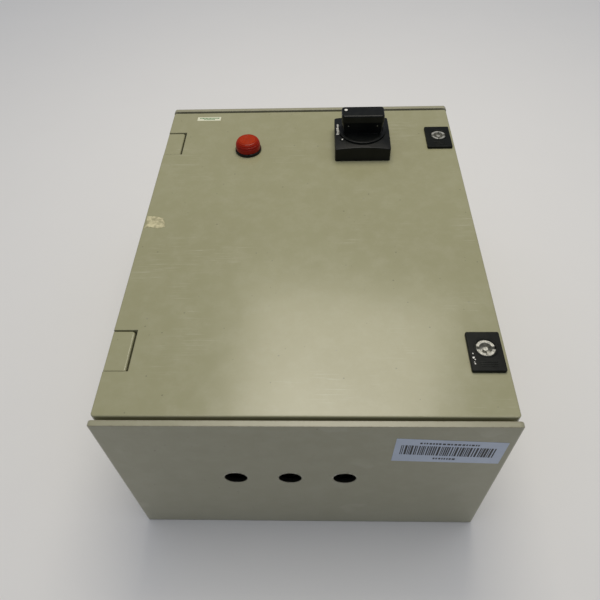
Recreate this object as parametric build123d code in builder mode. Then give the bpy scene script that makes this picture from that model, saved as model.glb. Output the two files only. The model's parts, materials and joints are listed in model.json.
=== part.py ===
from build123d import *
import os
from math import tan, radians

# Enclosed magnetic motor starter, lying on its back: a moulded case with a hinged door, two
# quarter-turn locks, a rotary disconnect handle and a pilot light, and inside it the mounting
# plate with the motor breaker, contactor, overload relay, terminals and wiring.
# Millimetres. The origin is the centre of the back face, +X goes to the right of the front,
# +Y to its top end and +Z out of the door.

os.makedirs("parts", exist_ok=True)

# ---------------------------------------------------------------- driving dimensions: case
case_width = 330.0
case_length = 430.0
case_depth = 203.0            # back face to door face
wall = 4.0
case_corner = 3.0             # plan radius of the four upright corners
back_edge_radius = 2.0
lip_thickness = 5.0           # end walls, where they pass the ends of the door
lip_corner = 4.0
door_zone = 20.0              # the lips stand this far past the door's ledge
ledge_thickness = 4.0
rib_inset_end = 23.0
rib_thickness = 3.0
opening_corner = 6.0
plate_boss_radius = 7.0
plate_screw_core = 2.1        # core radius of the plate's screw holes
fixing_hole_radius = 4.25
fixing_inset = 12.5           # edge of the opening to a wall-fixing hole
fixing_pad_radius = 9.0
fixing_pad_height = 3.0
gland_radius = 10.0
gland_pitch = 47.5
gland_mid_x = -13.6
gland_height = 109.0          # above the back face

# ---------------------------------------------------------------- driving dimensions: door
door_side_gap = 1.5           # case side to door side
door_end_gap = 3.25           # lip to door end
door_thickness = 3.5
door_skirt = 3.5
door_corner = 3.0
door_edge_radius = 1.2
skirt_gap = 1.5               # skirt to ledge
gasket_width = 7.0
gasket_thickness = 4.5
rib_to_gasket = 0.3
channel_rib = 1.2
channel_rib_height = 3.5
channel_gap = 0.3
channel_half = gasket_width / 2 + channel_gap + channel_rib

# ---------------------------------------------------------------- driving dimensions: hinges
hinge_inset = 70.0            # case end to the middle of a hinge
hinge_edge = 2.0              # case side to the hinge block
hinge_block_width = 18.4
hinge_block_length = 40.5
hinge_block_drop = 0.5        # below the door face
hinge_pin_radius = 1.5
hinge_pin_inset = 4.5         # case side to the pin
hinge_pin_height = 7.0        # above the ledge
hinge_side_gap = 2.2          # block to the door plate, beside it
hinge_end_gap = 0.7           # block to the door, above and below it
hinge_lug = 5.0
hinge_running = 0.05          # pin in a door lug
spigot_radius = 3.0

# ---------------------------------------------------------------- driving dimensions: locks
lock_inset_side = 18.5        # case side to the middle of a lock housing
lock_inset_end = 67.0
lock_width = 27.5
lock_length = 38.7
lock_plate = 3.0
lock_axis_up = 3.0            # axis above the middle of its housing
lock_axis_right = 0.5         # and to its right
barrel_radius = 8.0
barrel_running = 0.04
barrel_height = 7.5
barrel_rim = 2.7              # rim round the key recess
key_pin_radius = 2.0
lock_neck_radius = barrel_radius + 1.0
lock_hole_gap = 0.3
lock_neck_depth = 15.5        # below the door face
lock_nut_flats = 2 * (lock_neck_radius + 2.0)
lock_nut_height = 5.0
spindle_radius = 4.5
spindle_square = 7.0
cam_thickness = 3.0
cam_width = 12.0
cam_reach = 14.5
cam_below_ledge = 1.0
pocket_wall = 2.5
pocket_depth = 8.5            # below the ledge's underside
slot_half_width = lock_neck_radius + 1.5

# ---------------------------------------------------------------- driving dimensions: handle
handle_inset_side = 105.6
handle_inset_end = 77.0
handle_size = 60.0
handle_height = 19.5          # at the top of its dome
dome_radius = 185.0
panel_hole_radius = 11.25     # standard 22.5 mm control hole
handle_neck_radius = panel_hole_radius - 0.25
dial_radius = 25.25
dial_gap = 0.3
dial_thickness = 8.7
dial_top = 20.0               # above the door face
dial_recess = 1.6
dial_rim = 2.6
hub_radius = handle_neck_radius - 2.0
hub_running = 0.05
grip_length = 45.5
grip_width = 19.5
grip_root_length = 40.0
grip_root_width = 12.0
grip_shoulder = 34.0          # above the door face
grip_top = 42.0
handle_screw_pitch = 36.0
slide_length = 23.0
slide_width = 9.0
slide_thickness = 3.0
slide_gap = 0.3
slide_travel = 9.0
shaft_square = 8.0
shaft_overlap = 9.5           # shaft tip inside the door's socket
socket_gap = 0.6              # each side of the shaft
socket_radius = hub_radius + 3.0
socket_mouth = 178.0          # height of the socket's mouth

# ---------------------------------------------------------------- driving dimensions: pilot light
pilot_inset_side = 97.5
pilot_inset_end = 84.4
pilot_neck_radius = panel_hole_radius - 0.15
pilot_neck_depth = 17.0
pilot_neck_wall = 1.6
pilot_nut_flats = 2 * (pilot_neck_radius + 1.9)
pilot_nut_height = 5.0
bezel_radius = pilot_neck_radius + 3.4
bezel_height = 3.2
lens_radius = bezel_radius - 0.9
lens_shoulder = 5.0           # from the lens side to its flat top
lens_height = 14.0            # above the door face
lens_wall = 1.8
lamp_block_width = 29.0
lamp_block_length = 38.0
lamp_block_depth = 26.0

# ---------------------------------------------------------------- driving dimensions: inside
plate_gap = 4.5               # mounting plate to the edge of the opening
plate_end_gap = 7.5
plate_thickness = 2.0
plate_height = 20.0           # underside of the plate above the back face
plate_notch = 26.0
plate_screw_inset = 10.0      # plate side to its screws
plate_screw_end = 38.0
rail_width = 35.0
rail_height = 7.5
rail_sheet = 1.0
device_width = 45.0
device_lift = 2.5             # underside of a device above the plate
rail_seat = 0.1
breaker_length = 89.0
breaker_tier = 42.5           # terminal tier, above the rail
breaker_depth = 69.0          # front face, above the rail
wire_gap = 21.0               # breaker to contactor
contactor_length = 77.0
contactor_tier = 38.2         # terminal seats, above the rail
contactor_depth = 78.5
magnet_travel = 4.7
overload_gap = 3.5
overload_length = 62.0
overload_tier = 40.5
overload_depth = 62.5
terminal_row_drop = 67.0      # overload's lower end to the terminal rail
terminal_width = 8.0
terminal_pitch = 8.2
terminal_length = 44.0
terminal_depth = 36.5
earth_width = 10.0
fuse_width = 17.6
fuse_spacing = 62.0           # contactor axis to fuse holder axis
phase_pitch = 13.0
wire_in = 7.0                 # how far a wire reaches into its terminal
power_well = 4.0              # depth of a screw's well
power_well_radius = 4.2
power_hole_radius = 2.0
power_head_radius = 3.6
power_head = 2.2
power_shank_radius = 1.95
contact_screw_length = 5.5
terminal_well = 7.0
power_wire_radius = 1.8
wire_bore_gap = 0.3           # wire entry round its wire
screw_tip_gap = 0.2           # clamping screw above its wire
wire_lane = 2 * power_wire_radius + 1.4
prong_radius = power_wire_radius + 0.2
control_wire_radius = 1.2
lead_radius = 1.7

# ---------------------------------------------------------------- derived levels and places
half_width = case_width / 2
half_length = case_length / 2
ledge_top = case_depth - door_zone
ledge_bottom = ledge_top - ledge_thickness
door_under = case_depth - door_thickness
door_bottom = ledge_top + skirt_gap
gasket_bottom = door_under - gasket_thickness
rib_top = gasket_bottom - rib_to_gasket
rib_inset_side = lock_inset_side - lock_axis_right + lock_nut_flats / 2 + channel_half
rib_x = half_width - rib_inset_side
rib_y = half_length - rib_inset_end
opening_x = rib_x - rib_thickness / 2
opening_y = rib_y - rib_thickness / 2
door_x = half_width - door_side_gap
door_y = half_length - lip_thickness - door_end_gap

hinge_ys = [half_length - hinge_inset, hinge_inset - half_length]
block_left = hinge_edge - half_width
block_right = block_left + hinge_block_width
block_top = case_depth - hinge_block_drop
pin_x = hinge_pin_inset - half_width
pin_z = ledge_top + hinge_pin_height
pin_half = hinge_block_length / 2 + hinge_end_gap + hinge_lug

lock_x = half_width - lock_inset_side
lock_axis_x = lock_x + lock_axis_right
lock_ys = {"upper": half_length - lock_inset_end, "lower": lock_inset_end - half_length}
cam_top = ledge_bottom - cam_below_ledge
cam_bottom = cam_top - cam_thickness
pocket_bottom = ledge_bottom - pocket_depth

handle_x = half_width - handle_inset_side
handle_y = half_length - handle_inset_end
pilot_x = pilot_inset_side - half_width
pilot_y = half_length - pilot_inset_end

plate_x = opening_x - plate_gap
plate_y = opening_y - plate_end_gap
plate_top = plate_height + plate_thickness
plate_points = [(sx * (plate_x - plate_screw_inset), sy * (plate_y - plate_screw_end))
                for sx in (-1, 1) for sy in (-1, 1)]
fixing_points = [(sx * (opening_x - fixing_inset), sy * (opening_y - fixing_inset))
                 for sx in (-1, 1) for sy in (-1, 1)]
gland_xs = [gland_mid_x + i * gland_pitch for i in (-1, 0, 1)]

rail_top = plate_top + rail_height
device_bottom = plate_top + device_lift
phase_xs = [handle_x + i * phase_pitch for i in (-1, 0, 1)]
breaker_y = handle_y
contactor_y = breaker_y - breaker_length / 2 - wire_gap - contactor_length / 2
overload_top_y = contactor_y - contactor_length / 2 - overload_gap
overload_low_y = overload_top_y - overload_length
terminal_y = overload_low_y - terminal_row_drop
terminal_xs = [handle_x + (i - 6) * terminal_pitch for i in range(8)]
supply_xs = terminal_xs[2:5]
motor_xs = terminal_xs[5:8]
control_xs = terminal_xs[0:2]
earth_xs = [terminal_xs[-1] + terminal_width / 2 + 0.2 + earth_width / 2 + i * (earth_width + 0.2)
            for i in (0, 1)]
fuse_x = handle_x - fuse_spacing
rail_ys = [breaker_y, contactor_y, terminal_y]
rail_left = fuse_x - fuse_width / 2 - 14.0
rail_right = earth_xs[-1] + earth_width / 2 + 14.0
rail_screw_points = [(x, y) for y in rail_ys for x in (rail_left + 7.0, rail_right - 7.0)]


# ---------------------------------------------------------------- shape helpers
def slab(x0, x1, y0, y1, z0, z1, mode=Mode.ADD, corner=0.0):
    """Add or cut a block between two corners, with rounded upright edges where asked."""
    with BuildSketch(Plane.XY.offset(z0)) as outline:
        with Locations(((x0 + x1) / 2, (y0 + y1) / 2)):
            if corner > 0:
                RectangleRounded(x1 - x0, y1 - y0, corner)
            else:
                Rectangle(x1 - x0, y1 - y0)
    extrude(outline.sketch, amount=z1 - z0, mode=mode)


def rods(points, z0, z1, radius, mode=Mode.ADD):
    """Add or cut upright round rods at the listed points."""
    with BuildSketch(Plane.XY.offset(z0)) as outline:
        with Locations(*points):
            Circle(radius)
    extrude(outline.sketch, amount=z1 - z0, mode=mode)


def end_bores(xs, z, y_face, depth, radius):
    """Cut round wire entries at height z into a face that looks along Y, depth signed along Y."""
    with BuildSketch(Plane.XZ.offset(-y_face)) as outline:
        with Locations(*[(x, z) for x in xs]):
            Circle(radius)
    extrude(outline.sketch, amount=-depth, mode=Mode.SUBTRACT)


def screws(points, seat, head_radius, head_height, shank_radius, shank_length):
    """Add pan-head screws standing on the seat level, with a cross slot in each head."""
    up = 1 if shank_length > 0 else -1
    rods(points, seat, seat + up * head_height, head_radius)
    rods(points, seat, seat - shank_length, shank_radius)
    with BuildSketch(Plane.XY.offset(seat + up * head_height)) as slots:
        with Locations(*points):
            Rectangle(1.5 * head_radius, 0.3 * head_radius)
            Rectangle(0.3 * head_radius, 1.5 * head_radius)
    extrude(slots.sketch, amount=-up * head_height / 2, mode=Mode.SUBTRACT)


def wire(points, radius, name):
    """Add a round wire through the listed points, with each bend as large as its runs allow."""
    route = [Vector(*p) for p in points]
    radii = []
    for before, corner, after in zip(route, route[1:], route[2:]):
        turn = (corner - before).get_angle(after - corner)
        shorter = min((corner - before).length, (after - corner).length)
        radii.append(0.45 * shorter / tan(radians(turn / 2)))
    print(name, "bend radii", [round(r, 1) for r in radii], "diameter", 2 * radius)
    with BuildLine() as path:
        FilletPolyline(*route, radius=radii)
    start = route[0]
    with BuildSketch(Plane(origin=start, z_dir=route[1] - start)) as section:
        Circle(radius)
    sweep(section.sketch, path=path.line)
    print(name, "length", round(sum(edge.length for edge in path.edges()), 1))


def finish(piece, name):
    """Name a piece and write it."""
    piece.part.label = name
    export_step(piece.part, "parts/" + name + ".step")


# ================================================================ case
with BuildPart() as enclosure_body:
    with BuildSketch():
        RectangleRounded(case_width, case_length, case_corner)
    extrude(amount=ledge_top)
    fillet(enclosure_body.faces().sort_by(Axis.Z)[0].edges(), back_edge_radius)
    # lips at the two ends
    with BuildSketch(Plane.XY.offset(ledge_top)):
        RectangleRounded(case_width, case_length, case_corner)
        Rectangle(case_width + 2, case_length - 2 * lip_thickness, mode=Mode.SUBTRACT)
    extrude(amount=door_zone)
    with BuildSketch(Plane.XZ) as lip_ends:
        with Locations(*[(s * (half_width - lip_corner / 2), case_depth - lip_corner / 2)
                         for s in (-1, 1)]):
            Rectangle(lip_corner, lip_corner)
        with Locations(*[(s * (half_width - lip_corner), case_depth - lip_corner)
                         for s in (-1, 1)]):
            Circle(lip_corner, mode=Mode.SUBTRACT)
    extrude(amount=case_length, both=True, mode=Mode.SUBTRACT)
    # hollow, opening and sealing rib
    slab(wall - half_width, half_width - wall, wall - half_length, half_length - wall,
         wall, ledge_bottom, Mode.SUBTRACT, 1.0)
    slab(-opening_x, opening_x, -opening_y, opening_y, ledge_bottom, ledge_top,
         Mode.SUBTRACT, opening_corner)
    with BuildSketch(Plane.XY.offset(ledge_top)):
        RectangleRounded(2 * (opening_x + rib_thickness), 2 * (opening_y + rib_thickness),
                         opening_corner + rib_thickness)
        RectangleRounded(2 * opening_x, 2 * opening_y, opening_corner, mode=Mode.SUBTRACT)
    extrude(amount=rib_top - ledge_top)
    # closed pockets under the ledge that the lock cams turn into
    for lock_y in lock_ys.values():
        axis_y = lock_y + lock_axis_up
        left = lock_x - cam_reach - 0.5
        low = axis_y - cam_reach - 2.0
        high = axis_y + slot_half_width + 0.5
        slab(left - pocket_wall, half_width - wall / 2, low - pocket_wall, high + pocket_wall,
             pocket_bottom - pocket_wall, ledge_bottom)
        slab(left, half_width - wall, low, high, pocket_bottom, ledge_bottom, Mode.SUBTRACT)
        slab(lock_x - slot_half_width, lock_x + slot_half_width, low + 0.5, high - 0.5,
             ledge_bottom, ledge_top, Mode.SUBTRACT)
    # bosses for the mounting plate, pads round the wall fixings
    rods(plate_points, wall, plate_height, plate_boss_radius)
    rods(plate_points, plate_height - 13.0, plate_height, plate_screw_core + 0.05, Mode.SUBTRACT)
    rods(fixing_points, wall, wall + fixing_pad_height, fixing_pad_radius)
    rods(fixing_points, 0, wall + fixing_pad_height, fixing_hole_radius, Mode.SUBTRACT)
    # seats of the hinge blocks' spigots
    rods([(block_left + hinge_block_width / 2, y + s * hinge_block_length / 4)
          for y in hinge_ys for s in (-1, 1)],
         ledge_bottom, ledge_top, spigot_radius + 0.05, Mode.SUBTRACT)
    # drilled cable holes in the lower end
    end_bores(gland_xs, gland_height, -half_length, wall, gland_radius)
finish(enclosure_body, "enclosure_body")

with BuildPart() as hinge_blocks:
    for y in hinge_ys:
        slab(block_left, block_right, y - hinge_block_length / 2, y + hinge_block_length / 2,
             ledge_top, block_top)
    upper_right = hinge_blocks.edges().filter_by(Axis.Z).group_by(Axis.X)[-1].group_by(Axis.Y)
    fillet(upper_right[1] + upper_right[3], 3.0)
    fillet(hinge_blocks.faces().sort_by(Axis.Z)[-2:].edges().filter_by(Axis.Y).group_by(Axis.X)[-1],
           1.5)
    rods([(block_left + hinge_block_width / 2, y + s * hinge_block_length / 4)
          for y in hinge_ys for s in (-1, 1)], ledge_bottom, ledge_top, spigot_radius)
    with BuildSketch(Plane.XZ) as pin_hole:
        with Locations((pin_x, pin_z)):
            Circle(hinge_pin_radius + 0.01)
    extrude(pin_hole.sketch, amount=half_length, both=True, mode=Mode.SUBTRACT)
finish(hinge_blocks, "hinge_blocks")

with BuildPart() as hinge_pins:
    for y in hinge_ys:
        with BuildSketch(Plane.XZ.offset(-y)) as pin:
            with Locations((pin_x, pin_z)):
                Circle(hinge_pin_radius)
        extrude(pin.sketch, amount=pin_half, both=True)
finish(hinge_pins, "hinge_pins")

with BuildPart() as mounting_plate:
    slab(-plate_x, plate_x, -plate_y, plate_y, plate_height, plate_top, Mode.ADD, 2.0)
    for sx in (-1, 1):
        for sy in (-1, 1):
            slab(sx * plate_x - plate_notch, sx * plate_x + plate_notch,
                 sy * plate_y - plate_notch, sy * plate_y + plate_notch,
                 plate_height, plate_top, Mode.SUBTRACT, 3.0)
    rods(plate_points, plate_height, plate_top, 2.7, Mode.SUBTRACT)
    rods(rail_screw_points, plate_height, plate_top, 2.05, Mode.SUBTRACT)
finish(mounting_plate, "mounting_plate")


# ================================================================ rails
with BuildPart() as device_rails:
    for y in rail_ys:
        with BuildSketch(Plane.YZ.offset(rail_left)) as hat:
            with BuildLine():
                edge, web, t, h = rail_width / 2, 13.5, rail_sheet, rail_top - plate_top
                half = [(edge, h), (web - t, h), (web - t, t)]
                rest = [(web, 0), (web, h - t), (edge, h - t)]
                outline = ([(y - u, plate_top + v) for u, v in half]
                           + [(y + u, plate_top + v) for u, v in half[::-1]]
                           + [(y + u, plate_top + v) for u, v in rest[::-1]]
                           + [(y - u, plate_top + v) for u, v in rest])
                Polyline(*outline, close=True)
            make_face()
        extrude(hat.sketch, amount=rail_right - rail_left)
    rods(rail_screw_points, plate_top, plate_top + rail_sheet, 2.1, Mode.SUBTRACT)
finish(device_rails, "device_rails")

with BuildPart() as mounting_screws:
    screws(plate_points, plate_top, 4.6, 3.2, plate_screw_core, 14.0)
    screws(rail_screw_points, plate_top + rail_sheet, 3.6, 2.4, 2.0, rail_sheet + plate_thickness + 2)
finish(mounting_screws, "mounting_screws")


def rail_channel(x0, x1, y):
    """Cut the channel with which a device of that width straddles its rail."""
    slab(x0 - 1, x1 + 1, y - rail_width / 2 - 0.3, y + rail_width / 2 + 0.3,
         device_bottom - 1, rail_top + rail_seat, Mode.SUBTRACT)


# ================================================================ motor breaker
breaker_left = handle_x - device_width / 2
breaker_right = handle_x + device_width / 2
breaker_low = breaker_y - breaker_length / 2
breaker_high = breaker_y + breaker_length / 2
breaker_seat = rail_top + breaker_tier
breaker_front = rail_top + breaker_depth
breaker_wire_z = breaker_seat - 9.0
breaker_screw_points = [(x, breaker_y + s * (breaker_length / 2 - 9.0))
                        for x in phase_xs for s in (-1, 1)]

with BuildPart() as breaker_case:
    slab(breaker_left, breaker_right, breaker_low, breaker_high, device_bottom, breaker_seat)
    slab(breaker_left, breaker_right, breaker_y - 26.0, breaker_y + 26.0, breaker_seat, breaker_front)
    fillet(breaker_case.edges().filter_by(Axis.Z), 1.0)
    rail_channel(breaker_left, breaker_right, breaker_y)
    rods(breaker_screw_points, breaker_seat - power_well, breaker_seat, power_well_radius,
         Mode.SUBTRACT)
    rods(breaker_screw_points, breaker_wire_z, breaker_seat - power_well, power_hole_radius,
         Mode.SUBTRACT)
    end_bores(phase_xs, breaker_wire_z, breaker_low, 8.0, power_wire_radius + wire_bore_gap)
    end_bores(phase_xs, breaker_wire_z, breaker_high, -8.0, power_wire_radius + wire_bore_gap)
    rods([(handle_x, handle_y)], breaker_front - 8.0, breaker_front, 7.1, Mode.SUBTRACT)
finish(breaker_case, "breaker_case")

coupler_top = breaker_front + 17.0
shaft_tip = socket_mouth + shaft_overlap
with BuildPart() as shaft_coupler:
    rods([(handle_x, handle_y)], breaker_front - 7.7, breaker_front + 0.3, 7.05)
    rods([(handle_x, handle_y)], breaker_front + 0.3, coupler_top, 11.0)
    chamfer(shaft_coupler.faces().sort_by(Axis.Z)[-1].edges(), 1.0)
    slab(handle_x - shaft_square / 2 - 0.05, handle_x + shaft_square / 2 + 0.05,
         handle_y - shaft_square / 2 - 0.05, handle_y + shaft_square / 2 + 0.05,
         breaker_front + 3.0, coupler_top, Mode.SUBTRACT)
finish(shaft_coupler, "shaft_coupler")

with BuildPart() as extension_shaft:
    slab(handle_x - shaft_square / 2, handle_x + shaft_square / 2,
         handle_y - shaft_square / 2, handle_y + shaft_square / 2, breaker_front + 3.0, shaft_tip)
    chamfer(extension_shaft.faces().sort_by(Axis.Z)[-1].edges(), 0.8)
finish(extension_shaft, "extension_shaft")


# ================================================================ contactor
cx, cy = handle_x, contactor_y
contactor_low = cy - contactor_length / 2
contactor_high = cy + contactor_length / 2
seat_z = rail_top + contactor_tier                # terminal strips lie on this level
contactor_front = rail_top + contactor_depth
contact_wire_z = seat_z - 5.0
contact_wire_in = 5.5         # how far a wire or prong reaches into the contactor
prong_root = 6.0              # and a prong into the relay
magnet_base = rail_top + 3.8
yoke_top = magnet_base + 19.7
armature_gap = 5.0
armature_bottom = yoke_top + armature_gap
armature_top = armature_bottom + 7.0
strip_top = seat_z + 1.5
bridge_bottom = strip_top + magnet_travel + 0.1
contactor_screw_points = [(x, cy + s * (contactor_length / 2 - 7.5))
                          for x in phase_xs for s in (-1, 1)]
coil_points = [(cx + s * 19.0, cy + 16.0) for s in (-1, 1)]

with BuildPart() as contactor_base:
    slab(cx - device_width / 2, cx + device_width / 2, contactor_low, contactor_high,
         device_bottom, seat_z)
    fillet(contactor_base.edges().filter_by(Axis.Z), 1.0)
    rail_channel(cx - device_width / 2, cx + device_width / 2, cy)
    slab(cx - 19.5, cx + 19.5, cy - 24.0, cy + 24.0, magnet_base - 0.3, seat_z, Mode.SUBTRACT)
    # barriers between the phases, at both ends
    for s in (-1, 1):
        for x in (cx - 19.5 - 1.5, cx - 6.5, cx + 6.5, cx + 19.5 + 1.5):
            y0, y1 = sorted((cy + s * 25.5, cy + s * contactor_length / 2))
            slab(x - 1.2, x + 1.2, y0, y1, seat_z, seat_z + 7.0)
    rods(contactor_screw_points, strip_top - contact_screw_length - 0.5, seat_z, power_hole_radius,
         Mode.SUBTRACT)
    end_bores(phase_xs, contact_wire_z, contactor_low, 6.0, power_wire_radius + wire_bore_gap)
    end_bores(phase_xs, contact_wire_z, contactor_high, -6.0, power_wire_radius + wire_bore_gap)
finish(contactor_base, "contactor_base")

with BuildPart() as contactor_cover:
    slab(cx - device_width / 2, cx + device_width / 2, cy - 24.5, cy + 24.5,
         strip_top + 0.3, contactor_front)
    fillet(contactor_cover.edges().filter_by(Axis.Z), 1.0)
    fillet(contactor_cover.faces().sort_by(Axis.Z)[-1].edges(), 0.8)
    slab(cx - 20.0, cx + 20.0, cy - 22.5, cy + 22.5, strip_top, contactor_front - 2.5,
         Mode.SUBTRACT)
    slab(cx - 6.3, cx + 6.3, cy - 5.3, cy + 5.3, contactor_front - 3, contactor_front, Mode.SUBTRACT)
    # feet that clip to the base on both sides
    for s in (-1, 1):
        x0, x1 = sorted((cx + s * 20.0, cx + s * device_width / 2))
        slab(x0, x1, cy - 12.0, cy + 12.0, seat_z, strip_top + 1.0)
finish(contactor_cover, "contactor_cover")

with BuildPart() as contactor_yoke:
    slab(cx - 8.0, cx + 8.0, cy - 20.0, cy + 20.0, magnet_base, magnet_base + 6.7)
    for y0, y1 in ((-20.0, -14.5), (-4.0, 4.0), (14.5, 20.0)):
        slab(cx - 8.0, cx + 8.0, cy + y0, cy + y1, magnet_base + 6.7, yoke_top)
finish(contactor_yoke, "contactor_yoke")

bobbin_low = magnet_base + 7.0
bobbin_high = yoke_top - 1.0
with BuildPart() as coil_bobbin:
    slab(cx - 17.0, cx + 17.0, cy - 13.8, cy + 13.8, bobbin_low, bobbin_high, Mode.ADD, 2.0)
    with BuildSketch(Plane.XY.offset(bobbin_low + 1.5)):
        with Locations((cx, cy)):
            RectangleRounded(40.0, 30.0, 2.0)
            RectangleRounded(19.2, 11.2, 1.5, mode=Mode.SUBTRACT)
    extrude(amount=bobbin_high - bobbin_low - 3.0, mode=Mode.SUBTRACT)
    slab(cx - 8.3, cx + 8.3, cy - 4.3, cy + 4.3, bobbin_low, bobbin_high, Mode.SUBTRACT)
finish(coil_bobbin, "coil_bobbin")

with BuildPart() as coil_winding:
    slab(cx - 16.0, cx + 16.0, cy - 12.8, cy + 12.8, bobbin_low + 1.6, bobbin_high - 1.6,
         Mode.ADD, 4.0)
    slab(cx - 9.7, cx + 9.7, cy - 5.7, cy + 5.7, bobbin_low + 1.6, bobbin_high - 1.6,
         Mode.SUBTRACT, 1.6)
finish(coil_winding, "coil_winding")

with BuildPart() as contactor_armature:
    slab(cx - 8.0, cx + 8.0, cy - 20.0, cy + 20.0, armature_bottom, armature_top)
finish(contactor_armature, "contactor_armature")

with BuildPart() as contact_carrier:
    slab(cx - 18.0, cx + 18.0, cy - 13.5, cy + 13.5, armature_top, bridge_bottom + 9.0, Mode.ADD, 1.0)
    slab(cx - 6.0, cx + 6.0, cy - 5.0, cy + 5.0, bridge_bottom + 9.0, contactor_front)
    for x in phase_xs:
        slab(x - 2.8, x + 2.8, cy - 14.0, cy + 14.0, bridge_bottom, bridge_bottom + 5.0, Mode.SUBTRACT)
finish(contact_carrier, "contact_carrier")

with BuildPart() as contact_bridges:
    for x in phase_xs:
        slab(x - 2.5, x + 2.5, cy - 21.0, cy + 21.0, bridge_bottom, bridge_bottom + 1.5)
finish(contact_bridges, "contact_bridges")

with BuildPart() as fixed_contacts:
    for x in phase_xs:
        for s in (-1, 1):
            y0, y1 = sorted((cy + s * 16.0, cy + s * (contactor_length / 2 - 2.0)))
            slab(x - 4.0, x + 4.0, y0, y1, seat_z, strip_top)
    rods(contactor_screw_points, seat_z, strip_top, power_hole_radius, Mode.SUBTRACT)
finish(fixed_contacts, "fixed_contacts")

spring_points = [(cx - 13.0, cy), (cx + 13.0, cy)]
with BuildPart() as return_springs:
    for x, y in spring_points:
        wire_radius, coil_radius = 0.45, 2.6
        bottom = bobbin_high + wire_radius + 0.05
        rise = armature_top - bobbin_high - 2 * wire_radius - 0.1
        with BuildLine(Plane(origin=(x, y, bottom))) as turns:
            coil = Helix(pitch=rise / 4, height=rise, radius=coil_radius)
        with BuildSketch(Plane(origin=coil @ 0, z_dir=coil % 0)) as strand:
            Circle(wire_radius)
        sweep(strand.sketch, path=turns.line, is_frenet=True)
finish(return_springs, "return_springs")


# ================================================================ overload relay
relay_mid = (overload_top_y + overload_low_y) / 2
relay_bottom = device_bottom + 8.0
relay_seat = rail_top + overload_tier
relay_front = rail_top + overload_depth
relay_wire_z = relay_seat - 9.0
relay_screw_points = [(x, overload_low_y + 8.0) for x in phase_xs]
reset_point = (handle_x + 12.0, relay_mid - 8.0)
stop_point = (handle_x - 12.0, relay_mid - 8.0)
dial_point = (handle_x, relay_mid + 12.0)
relay_button_radius = 4.5
relay_dial_radius = 7.0
button_running = 0.06

with BuildPart() as overload_case:
    slab(cx - device_width / 2, cx + device_width / 2, overload_low_y, overload_top_y,
         relay_bottom, relay_seat)
    slab(cx - device_width / 2, cx + device_width / 2, overload_low_y + 14.0, overload_top_y - 4.0,
         relay_seat, relay_front)
    fillet(overload_case.edges().filter_by(Axis.Z), 1.0)
    slab(cx - 19.5, cx + 19.5, overload_low_y + 18.0, overload_top_y - 8.0,
         relay_bottom, relay_front - 3.0, Mode.SUBTRACT)
    rods([reset_point, stop_point], relay_front - 3.0, relay_front,
         relay_button_radius - 1.0 + button_running, Mode.SUBTRACT)
    rods([reset_point, stop_point], relay_front - 1.5, relay_front,
         relay_button_radius + button_running, Mode.SUBTRACT)
    rods([dial_point], relay_front - 1.5, relay_front, relay_dial_radius + 0.1, Mode.SUBTRACT)
    rods([dial_point], relay_front - 3.0, relay_front, 2.56, Mode.SUBTRACT)
    rods(relay_screw_points, relay_seat - power_well, relay_seat, power_well_radius, Mode.SUBTRACT)
    rods(relay_screw_points, relay_seat - 8.0, relay_seat - power_well, power_hole_radius,
         Mode.SUBTRACT)
    end_bores(phase_xs, relay_wire_z, overload_low_y, 8.0, power_wire_radius + wire_bore_gap)
    end_bores(phase_xs, contact_wire_z, overload_top_y, -prong_root, prong_radius + 0.01)
finish(overload_case, "overload_case")

with BuildPart() as overload_prongs:
    for x in phase_xs:
        with BuildSketch(Plane.XZ.offset(prong_root - overload_top_y)) as prong:
            with Locations((x, contact_wire_z)):
                Circle(prong_radius)
        extrude(prong.sketch, amount=-(prong_root + overload_gap + contact_wire_in))
finish(overload_prongs, "overload_prongs")

with BuildPart() as overload_heaters:
    for x in phase_xs:
        slab(x - 3.0, x + 3.0, relay_mid - 2.0, relay_mid - 0.8, relay_bottom + 6.0, relay_front - 3.0)
        slab(x - 3.6, x + 3.6, relay_mid - 2.6, relay_mid - 0.2, relay_bottom + 16.0,
             relay_front - 14.0)
finish(overload_heaters, "overload_heaters")

button_travel = 3.0
for name, point, cap in (("overload_reset_button", reset_point, 4.0),
                         ("overload_stop_button", stop_point, 4.0)):
    with BuildPart() as relay_button:
        rods([point], relay_front - 1.5 + button_travel + 0.2, relay_front + cap + 1.0,
             relay_button_radius)
        chamfer(relay_button.faces().sort_by(Axis.Z)[-1].edges(), 0.6)
        rods([point], relay_front - 4.0, relay_front + 2.0, relay_button_radius - 1.0)
        rods([point], relay_front - 5.0, relay_front - 3.3, relay_button_radius)
    finish(relay_button, name)

with BuildPart() as overload_dial:
    rods([dial_point], relay_front - 1.2, relay_front + 1.0, relay_dial_radius)
    rods([dial_point], relay_front - 3.5, relay_front - 1.2, 2.5)
    rods([dial_point], relay_front - 4.5, relay_front - 3.3, 3.5)
    slab(dial_point[0] - 5.0, dial_point[0] + 5.0, dial_point[1] - 0.8, dial_point[1] + 0.8,
         relay_front - 0.2, relay_front + 1.0, Mode.SUBTRACT)
finish(overload_dial, "overload_dial")


with BuildPart() as power_screws:
    for points, seat, wire_z in ((breaker_screw_points, breaker_seat - power_well, breaker_wire_z),
                                 (relay_screw_points, relay_seat - power_well, relay_wire_z)):
        screws(points, seat, power_head_radius, power_head, power_shank_radius,
               seat - wire_z - power_wire_radius - screw_tip_gap)
    screws(contactor_screw_points, strip_top, power_head_radius, power_head, power_shank_radius,
           contact_screw_length)
finish(power_screws, "power_screws")


# ================================================================ terminals and fuse holder
terminal_front = rail_top + terminal_depth
terminal_wire_z = terminal_front - 12.0
terminal_screw_points = [(x, terminal_y + s * 14.0) for x in terminal_xs for s in (-1, 1)]
earth_screw_points = [(x, terminal_y + s * 14.0) for x in earth_xs for s in (-1, 1)]


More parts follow.
